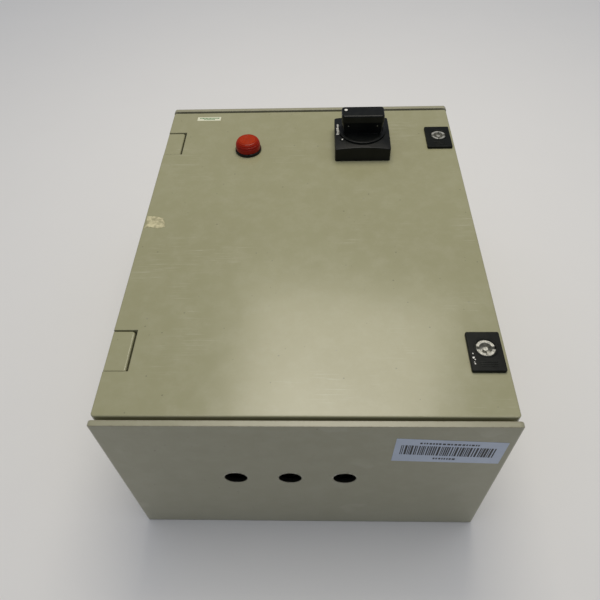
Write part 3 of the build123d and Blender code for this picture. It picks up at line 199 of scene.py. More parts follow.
class EffectLibrary:
    """Builds each shared effect once, as a node group with named sockets."""

    def __init__(self) -> None:
        """Start with no group built."""
        self._built: dict[Effect, bpy.types.NodeTree] = {}

    def place(self, tree: Tree, effect: Effect, **values: object) -> Socket:
        """Place an effect in a material, feed its inputs by name, and return its output."""
        node = tree.add("Group", node_tree=self._group(effect))
        for key, value in values.items():
            tree.feed(node.inputs[key], value)
        return node.outputs[0]

    def _group(self, effect: Effect) -> bpy.types.NodeTree:
        """Return the effect's group, and build it the first time."""
        if effect not in self._built:
            name, output, defaults = effect.value
            group = bpy.data.node_groups.new(name, "ShaderNodeTree")
            sockets = group.interface
            sockets.new_socket("Position", in_out="INPUT", socket_type="NodeSocketVector")
            for label, default in defaults.items():
                made = sockets.new_socket(label, in_out="INPUT", socket_type="NodeSocketFloat")
                made.default_value = default
            sockets.new_socket(output, in_out="OUTPUT", socket_type="NodeSocketFloat")
            entry, leave = group.nodes.new("NodeGroupInput"), group.nodes.new("NodeGroupOutput")
            maker: Callable[[Tree, Inputs], Socket] = getattr(self, "_" + name)
            tree = Tree(group)
            tree.feed(leave.inputs[0], maker(tree, {s.name: s for s in entry.outputs if s.name}))
            self._built[effect] = group
        return self._built[effect]

    @staticmethod
    def _mottle(tree: Tree, inputs: Inputs) -> Socket:
        """Cloudy variation: Position, Scale and Contrast give Mask."""
        large = tree.noise(inputs["Position"], inputs["Scale"], detail=3.0, rough=0.5, warp=0.4)
        fine = tree.noise(inputs["Position"], tree.times(inputs["Scale"], 9.0), detail=3.0)
        both = tree.math("ADD", tree.times(large, 0.7), tree.times(fine, 0.3))
        swing = tree.times(tree.math("SUBTRACT", both, 0.5), tree.times(inputs["Contrast"], 3.0))
        return tree.math("ADD", swing, 0.5, clamp=True)

    @staticmethod
    def _grain(tree: Tree, inputs: Inputs) -> Socket:
        """Moulded or cast texture: Position, Scale and Relief give Height in metres."""
        cells = tree.cells(inputs["Position"], inputs["Scale"], "SMOOTH_F1")
        cloud = tree.noise(inputs["Position"], tree.times(inputs["Scale"], 0.35), detail=3.0)
        both = tree.math("ADD", tree.times(cells.outputs["Distance"], 0.6), cloud)
        return tree.times(both, inputs["Relief"])

    @staticmethod
    def _edge_wear(tree: Tree, inputs: Inputs) -> Socket:
        """Rubbed edges: Position, Radius and Amount give Mask."""
        rounded = tree.add("Bevel", inputs["Radius"], samples=4)
        flat = tree.add("NewGeometry").outputs["True Normal"]
        dot = tree.add("VectorMath", rounded.outputs[0], flat, operation="DOT_PRODUCT")
        edge = tree.band(tree.math("SUBTRACT", 1.0, dot.outputs["Value"]), 0.015, 0.16)
        cloud = tree.noise(inputs["Position"], 260.0, detail=5.0, rough=0.65)
        broken = tree.band(cloud, 0.40, 0.62)
        return tree.times(edge, broken, inputs["Amount"], clamp=True)

    @staticmethod
    def _dust(tree: Tree, inputs: Inputs) -> Socket:
        """Dust that lies in clouds: Position, Scale and Amount give Mask."""
        cloud = tree.noise(inputs["Position"], inputs["Scale"], detail=6.0, rough=0.7)
        return tree.times(tree.band(cloud, 0.38, 0.75), inputs["Amount"], clamp=True)

    @staticmethod
    def _scuffs(tree: Tree, inputs: Inputs) -> Socket:
        """Fine hairline scratches in patches: Position, Scale and Amount give Mask."""
        total: object = 0.0
        for turn, stretch in ((0.5, 28.0), (1.9, 34.0), (2.7, 22.0)):
            placed = tree.add("Mapping", inputs["Position"], (0.0, 0.0, 0.0), (0.0, 0.0, turn),
                              (1.0, stretch, 1.0))
            line = tree.noise(placed.outputs[0], inputs["Scale"], detail=2.0, rough=0.4, warp=0.3)
            total = tree.math("ADD", total, tree.band(line, 0.655, 0.70))
        patches = tree.band(tree.noise(inputs["Position"], 14.0, detail=3.0), 0.50, 0.68)
        return tree.times(total, patches, inputs["Amount"], clamp=True)

    @staticmethod
    def _specks(tree: Tree, inputs: Inputs) -> Socket:
        """Sparse small round specks: Position, Scale and Amount give Mask."""
        cells = tree.cells(inputs["Position"], inputs["Scale"])
        chosen = tree.add("SeparateColor", cells.outputs["Color"])
        size = tree.times(tree.band(chosen.outputs[0], 0.86, 1.0), 0.16)
        near = tree.math("LESS_THAN", cells.outputs["Distance"], size)
        return tree.times(near, inputs["Amount"])


EFFECTS = EffectLibrary()


# ------------------------------------------------------------------------------ finishes
@dataclass(frozen=True)
class Finish:
    """One surface finish, and how it is built as a material.

    An empty slot means that the finish's own name is the record's slot.
    """

    name: str
    color: str
    second: str
    roughness: float = 0.5
    metallic: float = 0.0
    mottle_scale: float = 25.0
    mottle: float = 0.6
    grain_scale: float = 1400.0
    relief: float = 0.00003
    edge: float = 0.0005
    wear: str = "#B0B0A8"
    wear_amount: float = 0.0
    dust: str = "#B8B4A4"
    dust_amount: float = 0.0
    dust_scale: float = 55.0
    scuff: str = "#C8C6B4"
    scuff_amount: float = 0.0
    scuff_scale: float = 26.0
    speck: str = "#3A3630"
    speck_amount: float = 0.0
    speck_scale: float = 190.0
    coat: float = 0.0
    coat_roughness: float = 0.12
    anisotropy: float = 0.0
    specular: float = 0.5
    slot: str = ""

    def pattern(self, tree: Tree, position: Socket) -> object:
        """Colour before wear and dust; plain finishes only mottle between two colours."""
        cloud = EFFECTS.place(tree, Effect.MOTTLE, Position=position, Scale=self.mottle_scale,
                              Contrast=self.mottle)
        return tree.mix(cloud, linear(self.color), linear(self.second))

    def height(self, tree: Tree, position: Socket) -> Socket:
        """Relief of the surface in metres."""
        return EFFECTS.place(tree, Effect.GRAIN, Position=position, Scale=self.grain_scale,
                             Relief=self.relief)

    def build(self) -> bpy.types.Material:
        """Make the material, once per finish, and return it."""
        full_name = self.name + "_finish"
        if full_name in bpy.data.materials:
            return bpy.data.materials[full_name]
        material = bpy.data.materials.new(full_name)
        material.use_nodes = True
        tree = Tree(material.node_tree)
        shader = material.node_tree.nodes["Principled BSDF"]
        position = tree.add("TexCoord").outputs["Object"]
        color = self.pattern(tree, position)
        rough = tree.math("ADD", self.roughness - 0.05,
                          tree.times(tree.noise(position, self.mottle_scale * 2.2), 0.10))
        for effect, tint, amount, scale in (
                (Effect.SPECKS, self.speck, self.speck_amount, self.speck_scale),
                (Effect.SCUFFS, self.scuff, self.scuff_amount, self.scuff_scale),
                (Effect.DUST, self.dust, self.dust_amount, self.dust_scale)):
            if amount > 0:
                mask = EFFECTS.place(tree, effect, Position=position, Scale=scale, Amount=amount)
                color = tree.mix(mask, color, linear(tint))
                rough = tree.math("ADD", rough, tree.times(mask, 0.15))
        if self.wear_amount > 0:
            worn = EFFECTS.place(tree, Effect.EDGE_WEAR, Position=position, Amount=self.wear_amount)
            color = tree.mix(worn, color, linear(self.wear))
        tree.feed(shader.inputs["Base Color"], self.marks(tree, position, color))
        tree.feed(shader.inputs["Roughness"], tree.math("ADD", rough, 0.0, clamp=True))
        constants = {"Metallic": self.metallic, "Coat Weight": self.coat,
                     "Coat Roughness": self.coat_roughness, "Anisotropic": self.anisotropy,
                     "Specular IOR Level": self.specular}
        for label, value in constants.items():
            shader.inputs[label].default_value = value
        bump = tree.add("Bump")
        bump.inputs["Distance"].default_value = 1.0
        tree.feed(bump.inputs["Height"], self.height(tree, position))
        if self.edge > 0:
            tree.feed(bump.inputs["Normal"], tree.add("Bevel", self.edge, samples=4).outputs[0])
        tree.feed(shader.inputs["Normal"], bump.outputs[0])
        self.finish_shader(shader)
        return material

    def marks(self, tree: Tree, position: Socket, color: object) -> object:
        """Marks in fixed places, such as a stain; plain finishes have none."""
        return color

    def finish_shader(self, shader: bpy.types.Node) -> None:
        """Last settings on the shader's own sockets; plain finishes have none."""


@dataclass(frozen=True)
class Polyester(Finish):
    """Moulded glass-fibre polyester with grimy edges, and painted shade inside its drilled holes.
    """

    grime: str = "#5E4E34"
    grime_amount: float = 0.55
    grime_reach: float = 0.0022
    bores: tuple[tuple[float, float], ...] = ()
    bore_shade_color: str = "#161510"
    bore_radius: float = 0.0
    bore_wall: float = 0.0
    bore_depth: float = 0.0
    bore_margin: float = 0.3 * MM
    wave_scale: float = 16.0
    wave_height: float = 0.4 * MM

    def height(self, tree: Tree, position: Socket) -> Socket:
        """Slight waviness of a pressed moulding under a fine grain."""
        wave = tree.times(tree.noise(position, self.wave_scale, detail=2.0), self.wave_height)
        return tree.math("ADD", super().height(tree, position), wave)

    def marks(self, tree: Tree, position: Socket, color: object) -> object:
        """Brown grime along the moulding's edges, and painted shade, nearly black, inside each
        hole.
        """
        edge = EFFECTS.place(tree, Effect.EDGE_WEAR, Position=position, Radius=self.grime_reach,
                             Amount=self.grime_amount)
        color = tree.mix(edge, color, linear(self.grime))
        if not self.bores:
            return color
        along_x, along_y, along_z = tree.add("SeparateXYZ", position).outputs
        depth = tree.math("SUBTRACT", along_y, self.bore_wall)
        within = tree.times(tree.math("GREATER_THAN", depth, 0.1 * MM),
                            tree.math("LESS_THAN", depth, self.bore_depth))
        for x, z in self.bores:
            square = tree.math("ADD", tree.math("POWER", tree.math("SUBTRACT", along_x, x), 2.0),
                               tree.math("POWER", tree.math("SUBTRACT", along_z, z), 2.0))
            near = tree.math("LESS_THAN", square, (self.bore_radius + self.bore_margin) ** 2)
            # Painted shade: the bore's wall is coloured near black, as if in the shadow of the
            # hole.
            color = tree.mix(tree.times(near, within), color, linear(self.bore_shade_color))
        return color


@dataclass(frozen=True)
class Laminations(Finish):
    """Stacked steel sheets seen on their edges."""

    pitch: float = 0.5 * MM
    groove: float = 0.09 * MM

    def height(self, tree: Tree, position: Socket) -> Socket:
        """Fine grooves between the sheets, which stack along X."""
        wave = tree.add("TexWave", position, WAVE_PERIOD / self.pitch, wave_type="BANDS",
                        bands_direction="X")
        return tree.times(wave.outputs["Fac"], self.groove)


@dataclass(frozen=True)
class Spangle(Finish):
    """Galvanised sheet with its crystal spangle."""

    crystals: float = 160.0

    def pattern(self, tree: Tree, position: Socket) -> object:
        """Crystals a few millimetres across, each a slightly different grey."""
        shade = tree.add("SeparateColor", tree.cells(position, self.crystals).outputs["Color"])
        return tree.mix(shade.outputs[0], linear(self.color), linear(self.second))


@dataclass(frozen=True)
class Striped(Finish):
    """Two-colour moulding, split in bands along X."""

    pitch: float = 10.0 * MM

    def pattern(self, tree: Tree, position: Socket) -> object:
        """Alternate bands of the two colours."""
        turns = tree.math("DIVIDE", tree.add("SeparateXYZ", position).outputs[0], self.pitch)
        half = tree.math("GREATER_THAN", tree.math("FRACT", turns), 0.5)
        return tree.mix(half, linear(self.color), linear(self.second))


@dataclass(frozen=True)
class RedLens(Finish):
    """Translucent red lens, with painted shade darker towards its wall."""

    third: str = "#A02E0A"
    center: tuple[float, float] = (0.0, 0.0)
    radius: float = 13.6 * MM
    wall_shade_start: float = 0.55
    transmission: float = 0.12

    def pattern(self, tree: Tree, position: Socket) -> object:
        """Lens colour over the lamp, with painted shade darkening it towards the side wall, where
        the plastic is deepest.
        """
        moved = tree.add("VectorMath", position, (*self.center, 0.0), operation="SUBTRACT")
        flat = tree.add("VectorMath", moved.outputs[0], (1.0, 1.0, 0.0), operation="MULTIPLY")
        reach = tree.add("VectorMath", flat.outputs[0], operation="LENGTH").outputs["Value"]
        side = tree.band(reach, self.radius * self.wall_shade_start, self.radius)
        cloud = EFFECTS.place(tree, Effect.MOTTLE, Position=position, Scale=120.0, Contrast=0.6)
        base = tree.mix(cloud, linear(self.color), linear(self.third))
        # Painted shade: the darker second colour fills the outer band, out to the side wall.
        return tree.mix(side, base, linear(self.second))

    def finish_shader(self, shader: bpy.types.Node) -> None:
        """Let some light through the plastic."""
        shader.inputs["Transmission Weight"].default_value = self.transmission
        shader.inputs["IOR"].default_value = 1.5


class Palette:
    """Every finish that the starter uses."""

    CASE = Polyester(
        "case_polyester", "#96937A", "#8D8A70", roughness=0.30, mottle_scale=9.0, mottle=0.5,
        grain_scale=1100.0, relief=0.000012, edge=0.0009, wear="#C9C5AE", wear_amount=0.35,
        dust="#A9A692", dust_amount=0.25, scuff="#AFAC98", scuff_amount=0.3, speck_amount=0.35)
    DOOR = Polyester(
        "door_polyester", "#979574", "#908D6C", roughness=0.20, mottle_scale=7.0, mottle=0.45,
        grain_scale=1100.0, relief=0.00001, edge=0.0008, wear="#BDBAA2", wear_amount=0.25,
        dust="#A9A68C", dust_amount=0.22, scuff="#B4B19A", scuff_amount=0.28, speck_amount=0.35,
        grime_amount=0.3)
    BLACK = Finish(
        "black_plastic", "#070908", "#0F1110", roughness=0.34, mottle_scale=70.0,
        grain_scale=1700.0, relief=0.00002, wear="#4A4C46", wear_amount=0.25, dust="#3A3B36",
        dust_amount=0.16, specular=0.22)
    TEXTURED = Finish(
        "textured_black", "#0E100E", "#161815", roughness=0.42, mottle_scale=90.0,
        grain_scale=900.0, relief=0.00006, wear="#4E5048", wear_amount=0.3, dust="#45463E",
        dust_amount=0.12, specular=0.12, slot="black_plastic")
    DARK_GREY = Finish(
        "dark_grey_plastic", "#3A3C3E", "#424446", dust_amount=0.12, wear_amount=0.1,
        wear="#77797A")
    LIGHT_GREY = Finish("light_grey_plastic", "#A5A6A2", "#9A9B97", dust_amount=0.12)
    ZINC = Finish(
        "zinc_steel", "#B9BAB4", "#9FA19C", roughness=0.3, metallic=1.0, mottle_scale=300.0,
        grain_scale=2500.0, relief=0.000012, anisotropy=0.2)
    SPANGLE = Spangle(
        "galvanised_sheet", "#A4A8A9", "#B6B9B8", roughness=0.38, metallic=0.9, relief=0.00001,
        dust_amount=0.1, scuff_amount=0.25)
    RAIL = Finish(
        "zinc_rail", "#B8B6A2", "#A6A591", roughness=0.33, metallic=1.0, mottle_scale=60.0,
        relief=0.00001)
    LAMINATED = Laminations("laminated_steel", "#7C7D7A", "#6D6E6C", roughness=0.42, metallic=0.9)
    BOBBIN = Finish("nylon_bobbin", "#D4CDB8", "#C8C0AA")
    COPPER = Laminations(
        "copper_winding", "#8A4622", "#9C5630", roughness=0.3, metallic=0.85, pitch=0.35 * MM)
    BRASS = Finish(
        "contact_brass", "#AE8C4C", "#9A7A40", roughness=0.32, metallic=1.0, mottle_scale=200.0,
        relief=0.000012)
    SPRING = Finish("spring_steel", "#8A8C8E", "#7C7E80", roughness=0.28, metallic=1.0)
    RESET = Finish("reset_blue", "#1F4C98", "#1A4488", roughness=0.35, coat=0.3)
    STOP = Finish("stop_red", "#A8231C", "#981D17", roughness=0.35, coat=0.3)
    DIAL = Finish("dial_white", "#D6D5CC", "#CCCBC0", roughness=0.4)
    TERMINAL = Finish("terminal_grey", "#9A9B96", "#8F908B", roughness=0.55, dust_amount=0.1)
    EARTH = Striped("earth_green", "#4F8A2C", "#CDBE2E", pitch=10.2 * MM)
    WIRE = Finish("wire_black", "#161719", "#1E1F21", roughness=0.36, relief=0.00001, edge=0.0)
    WIRE_RED = Finish("wire_red", "#98201C", "#8A1B18", roughness=0.36, relief=0.00001, edge=0.0)
    LEAD = Finish("lead_grey", "#8E9190", "#848786", roughness=0.42, relief=0.00001, edge=0.0)
    FOAM = Finish(
        "gasket_foam", "#47484A", "#3D3E40", roughness=0.85, grain_scale=700.0, relief=0.00014,
        mottle_scale=120.0)
    BRIGHT = Finish(
        "lock_zinc", "#D2D0C4", "#83837A", roughness=0.34, metallic=0.5, mottle_scale=320.0,
        mottle=1.3, relief=0.00003, grain_scale=900.0, speck="#3C3A34", speck_amount=0.5)
    LED = Finish("led_white", "#D8D4C8", "#CFCABC", roughness=0.3)
    WHITE_INK = Finish(
        "white_ink", "#E9E7DC", "#D2CFC2", mottle_scale=600.0, mottle=1.0, edge=0.0,
        slot="dial_white")
    LABEL_CREAM = Finish(
        "label_cream", "#DAD9BE", "#CFCEB2", roughness=0.4, edge=0.0, slot="dial_white")
    LABEL_GREEN = Finish(
        "label_green", "#256B33", "#357A3E", roughness=0.4, edge=0.0, slot="dial_white")
    STICKER = Finish(
        "sticker_film", "#B6C0CE", "#A6B0BE", roughness=0.35, mottle_scale=40.0, edge=0.0,
        slot="dial_white")
    INK = Finish(
        "black_ink", "#17181B", "#232428", mottle_scale=900.0, mottle=1.0, edge=0.0,
        slot="black_plastic")
    TAPE = Finish(
        "tape_remnant", "#C6BE96", "#96906E", roughness=0.7, mottle_scale=220.0, mottle=1.6,
        relief=0.00012, grain_scale=600.0, speck_amount=0.7, speck="#7F7B62", edge=0.0,
        slot="dial_white")
    CHIPPED = Finish(
        "chipped_rim", "#C9C6B4", "#8F8C76", roughness=0.8, mottle_scale=500.0, mottle=1.6,
        relief=0.0002, grain_scale=900.0, edge=0.0, slot="case_polyester")


FINISHES: dict[str, Finish] = {
    made.name: made for made in vars(Palette).values() if isinstance(made, Finish)}


# ------------------------------------------------------------------------------ mesh building
@dataclass
class Piece:
    """A new mesh piece with its finish and the body that it rides on."""

    mesh: bpy.types.Object
    finish: Finish
    body: str

    def place(self) -> None:
        """Give the piece its material, and make it ride on its body."""
        self.mesh.data.materials.clear()
        self.mesh.data.materials.append(self.finish.build())
        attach(self.mesh, self.body)
        LOG.info("piece %s rides on %s", self.mesh.name, self.body)


def from_bmesh(name: str, shape: bmesh.types.BMesh) -> bpy.types.Object:
    """Turn a finished bmesh, which is freed, into a smooth-shaded object in the scene."""
    bmesh.ops.recalc_face_normals(shape, faces=shape.faces)
    mesh = bpy.data.meshes.new(name)
    shape.to_mesh(mesh)
    shape.free()
    made = bpy.data.objects.new(name, mesh)
    bpy.context.scene.collection.objects.link(made)
    mesh.shade_smooth()
    mesh.set_sharp_from_angle(angle=math.radians(SHARP_DEGREES))
    return made


def lathe(name: str, profile: Sequence[tuple[float, float]], center: Vector, segments: int = 96,
          wobble: Callable[[float, float], float] | None = None,
          axis: str = "Z") -> bpy.types.Object:
    """Turn a profile round an axis.

    Args:
        name: object name.
        profile: radius and height of each ring, from one end to the other.
        center: where the axis stands at height 0.
        segments: steps round the axis.
        wobble: extra radius for an angle and a height, for broken or knurled rims.
        axis: "Z", or "Y" for a piece that points along -Y.

    Returns:
        The turned object.
    """
    shape = bmesh.new()
    rings = []
    for radius, height in profile:
        if radius <= 0:
            rings.append([shape.verts.new((0, 0, height))])
            continue
        ring = []
        for step in range(segments):
            angle = math.tau * step / segments
            reach = radius + (wobble(angle, height) if wobble else 0.0)
            ring.append(shape.verts.new((reach * math.cos(angle), reach * math.sin(angle), height)))
        rings.append(ring)
    for first, second in zip(rings, rings[1:]):
        for step in range(segments):
            after = (step + 1) % segments
            corners = [first[step % len(first)], first[after % len(first)],
                       second[after % len(second)], second[step % len(second)]]
            unique = list(dict.fromkeys(corners))
            if len(unique) > 2:
                shape.faces.new(unique)
    if axis == "Y":
        bmesh.ops.rotate(shape, verts=shape.verts, matrix=Matrix.Rotation(math.pi / 2, 3, "X"))
    bmesh.ops.translate(shape, verts=shape.verts, vec=center)
    return from_bmesh(name, shape)


def plate(name: str, size: Vector, center: Vector, edge: float, segments: int = 2,
          turn: Euler | None = None) -> bpy.types.Object:
    """Make a bevelled block.

    Args:
        name: object name.
        size: full size along each axis.
        center: its centre.
        edge: bevel width.
        segments: bevel steps.
        turn: rotation about the centre.

    Returns:
        The block.
    """
    shape = bmesh.new()
    bmesh.ops.create_cube(shape, size=1.0)
    bmesh.ops.scale(shape, verts=shape.verts, vec=size)
    bmesh.ops.bevel(shape, geom=list(shape.edges), offset=edge, segments=segments, profile=0.5,
                    affect="EDGES")
    if turn is not None:
        bmesh.ops.rotate(shape, verts=shape.verts, matrix=turn.to_matrix())
    bmesh.ops.translate(shape, verts=shape.verts, vec=center)
    return from_bmesh(name, shape)


def sheet_patch(name: str, outline: Sequence[Vector], normal: Vector, thickness: float,
                ragged: float = 0.0, steps: int = 1) -> bpy.types.Object:
    """Make a thin sheet from a flat outline.

    Args:
        name: object name.
        outline: corners in order.
        normal: the side that shows.
        thickness: sheet thickness, along the normal.
        ragged: how far edge points are torn in or out.
        steps: points per edge.

    Returns:
        The sheet.
    """
    shape = bmesh.new()
    corners = []
    center = sum(outline, Vector()) / len(outline)
    for first, second in zip(outline, [*outline[1:], outline[0]]):
        for step in range(steps):
            spot = first.lerp(second, step / steps)
            tear = noise.noise(spot * 700.0) + 0.5 * noise.noise(spot * 2100.0)
            corners.append(shape.verts.new(spot + (center - spot).normalized() * tear * ragged))
    face = shape.faces.new(corners)
    if face.normal.dot(normal) < 0:
        face.normal_flip()
    raised = bmesh.ops.extrude_face_region(shape, geom=[face])
    moved = [v for v in raised["geom"] if isinstance(v, bmesh.types.BMVert)]
    bmesh.ops.translate(shape, verts=moved, vec=normal * thickness)
    return from_bmesh(name, shape)


def joined(name: str, parts: Sequence[bpy.types.Object]) -> bpy.types.Object:
    """Join several meshes into one object with the given name."""
    shape = bmesh.new()
    for part in parts:
        shape.from_mesh(part.data)
        bpy.data.objects.remove(part)
    return from_bmesh(name, shape)


def tube(name: str, points: Sequence[Vector], radius: float, sides: int = 20) -> bpy.types.Object:
    """Make a round tube along a smooth curve through a route's control points.

    Args:
        name: object name.
        points: control points of the route.
        radius: tube radius.
        sides: points round the tube.

    Returns:
        The tube as a mesh.
    """
    curve = bpy.data.curves.new(name + "_route", "CURVE")
    curve.dimensions = "3D"
    spline = curve.splines.new("NURBS")
    spline.points.add(len(points) - 1)
    for target, point in zip(spline.points, points):
        target.co = (*point, 1.0)
    spline.order_u = 3
    spline.use_endpoint_u = True
    curve.resolution_u = 14
    curve.bevel_depth = radius
    curve.bevel_resolution = sides // 4
    curve.use_fill_caps = True
    made = bpy.data.objects.new(name + "_route", curve)
    bpy.context.scene.collection.objects.link(made)
    mesh = bpy.data.meshes.new_from_object(made)
    bpy.data.objects.remove(made)
    bpy.data.curves.remove(curve)
    mesh.name = name
    result = bpy.data.objects.new(name, mesh)
    bpy.context.scene.collection.objects.link(result)
    mesh.shade_smooth()
    return result


# ------------------------------------------------------------------------------ studio
@dataclass(frozen=True)
class Lamp:
    """One square soft lamp."""

    name: str
    place: Point
    size: float
    power: float
    color: Point


@dataclass
class Studio:
    """Floor, lamps, world and camera."""

    floor_color: str = "#E2E0DA"
    floor_second: str = "#DEDCD6"
    floor_size: float = 30.0
    camera_place: Point = (0.01397, -0.4186, 0.5896)
    pitch: float = math.radians(50.944)
    yaw: float = math.radians(-3.058)
    roll: float = math.radians(-2.545)
    lens: float = 34.506
    shift: tuple[float, float] = (-0.0034, 0.0208)
    lamps: tuple[Lamp, ...] = (
        Lamp("key_light", (0.06, 0.42, 1.226), 0.58, 4.6, (1.0, 0.93, 0.80)),
        Lamp("fill_light", (0.10, 0.15, 2.4), 1.6, 20.5, (1.0, 0.97, 0.92)))
    world_color: str = "#D6DDF0"
    world_strength: float = 0.48
    mirrored_strength: float = 0.22
    seen_color: str = "#DAD8D2"
    target: Point = (0.0, 0.0, 0.2)

    def build(self) -> None:
        """Set up everything round the starter."""
        self._floor()
        self._world()
        for lamp in self.lamps:
            self._light(lamp)
        self._camera()
        bpy.context.scene.view_settings.view_transform = "Standard"

    def _floor(self) -> None:
        """Pale floor with faint variation."""
        shape = bmesh.new()
        bmesh.ops.create_grid(shape, x_segments=2, y_segments=2, size=self.floor_size / 2)
        floor = from_bmesh("floor", shape)
        finish = Finish("floor_paper", self.floor_color, self.floor_second, roughness=0.9,
                        mottle_scale=1.5, mottle=0.5, relief=0.00004, grain_scale=500.0, edge=0.0)
        floor.data.materials.append(finish.build())

    def _world(self) -> None:
        """Even pale surroundings."""
        world = bpy.data.worlds.new("surroundings")
        bpy.context.scene.world = world
        world.use_nodes = True
        tree = Tree(world.node_tree)
        lit = world.node_tree.nodes["Background"]
        lit.inputs["Color"].default_value = linear(self.world_color)
        lit.inputs["Strength"].default_value = self.world_strength
        mirrored = tree.add("Background", linear(self.world_color), self.mirrored_strength)
        seen = tree.add("Background", linear(self.seen_color), 1.0)
        path = tree.add("LightPath")
        shown = lit.outputs[0]
        for ray, source in (("Is Glossy Ray", mirrored), ("Is Camera Ray", seen)):
            shown = tree.add("MixShader", path.outputs[ray], shown, source.outputs[0]).outputs[0]
        tree.feed(world.node_tree.nodes["World Output"].inputs[0], shown)

    def _light(self, lamp: Lamp) -> None:
        """Add a lamp aimed at the starter."""
        light = bpy.data.lights.new(lamp.name, "AREA")
        light.size = lamp.size
        light.energy = lamp.power
        light.color = lamp.color
        made = bpy.data.objects.new(lamp.name, light)
        made.location = lamp.place
        aim = Vector(self.target) - Vector(lamp.place)
        made.rotation_euler = aim.to_track_quat("-Z", "Y").to_euler()
        bpy.context.scene.collection.objects.link(made)

    def _camera(self) -> None:
        """Camera at the viewing angle from which the starter is shown."""
        forward = Vector((math.sin(self.yaw) * math.cos(self.pitch),
                          math.cos(self.yaw) * math.cos(self.pitch), -math.sin(self.pitch)))
        level = Vector((math.cos(self.yaw), -math.sin(self.yaw), 0))
        upright = level.cross(forward)
        right = math.cos(self.roll) * level + math.sin(self.roll) * upright
        up = -math.sin(self.roll) * level + math.cos(self.roll) * upright
        data = bpy.data.cameras.new("camera")
        data.lens = self.lens
        data.sensor_width = 36.0
        data.shift_x, data.shift_y = self.shift
        camera = bpy.data.objects.new("camera", data)
        turn = Matrix((right, up, -forward)).transposed()
        camera.matrix_world = Matrix.Translation(self.camera_place) @ turn.to_4x4()
        bpy.context.scene.collection.objects.link(camera)
        bpy.context.scene.camera = camera


# ------------------------------------------------------------------------------ CAD pieces
def drilled() -> list[dict]:
    """The record's drilled cable holes."""
    return [mount for mount in frame["record"]["mounts"] if mount["kind"] == "bore"]


def case_finish() -> Finish:
    """The case's finish, with painted shade inside its drilled cable holes."""
    bores = drilled()
    return replace(Palette.CASE, name="case_drilled",
                   bores=tuple((m["pos_m"][0], m["pos_m"][2]) for m in bores),
                   bore_radius=bores[0]["dims"]["r_mm"] * MM, bore_wall=low("enclosure_body").y,
                   bore_depth=bores[0]["dims"]["length_mm"] * MM + 0.2 * MM)


def dress_frame() -> None:
    """Give every CAD node the finish of its material slot."""
    slots = {part["node"]: part["material_slot"] for part in frame["record"]["subparts"]}
    for name, node in frame["nodes"].items():
        finish = FINISHES.get(slots[name], Palette.LIGHT_GREY)
        if name.startswith("lock_housing"):
            finish = Palette.TEXTURED
        if name == "enclosure_body":
            finish = case_finish()
        node.data.materials.clear()
        node.data.materials.append(finish.build())
        LOG.info("node %s has finish %s", name, finish.name)


@dataclass
class PilotLight:
    """Ribbed red lens of the pilot light."""

    rings: int = 5
    ring_depth: float = 0.25 * MM
    shoulder_steps: int = 24
    side_groove: float = 0.4 * MM
    segments: int = 128
    flat_share: float = 0.66
    shoulder_share: float = 0.3
    shank_share: float = 0.7
    shank_length: float = 4.5 * MM
    gap: float = 0.05 * MM

    def build(self) -> None:
        """Build the lens that stands for its plain CAD node."""
        box_low, box_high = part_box("pilot_lens")
        center = middle("pilot_lens")
        base = high("pilot_bezel").z
        outer = (box_high.x - box_low.x) / 2
        crown = box_high.z - base
        top = crown - self.gap
        flat = outer * self.flat_share
        start = crown * self.shoulder_share
        shank = outer * self.shank_share
        profile = [(shank, -self.shank_length), (shank, self.gap), (outer - 0.3 * MM, self.gap),
                   (outer, 0.4 * MM), (outer, start)]
        for step in range(1, self.shoulder_steps + 1):
            angle = step / self.shoulder_steps * math.pi / 2
            inset = self.side_groove if step % 6 in (4, 5) else 0.0
            profile.append((flat + (outer - flat - inset) * math.cos(angle),
                            start + (top - start - inset) * math.sin(angle)))
        for ring in range(self.rings):
            radius = flat * (1 - (ring + 0.35) / self.rings)
            for shift, drop in ((0.5, 0.0), (0.2, self.ring_depth), (-0.2, self.ring_depth),
                                (-0.5, 0.0)):
                profile.append((radius + shift * MM, top - drop))
        profile.append((0.0, top))
        foot = Vector((center.x, center.y, base))
        lens = lathe("pilot_lens_ribbed", profile, foot, self.segments)
        finish = RedLens("lens_red", "#AE340C", "#96190A", roughness=0.3, specular=0.15,
                         center=(center.x, center.y), radius=outer, relief=0.00001, edge=0.0)
        Piece(lens, finish, "door").place()
        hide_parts("pilot_lens")


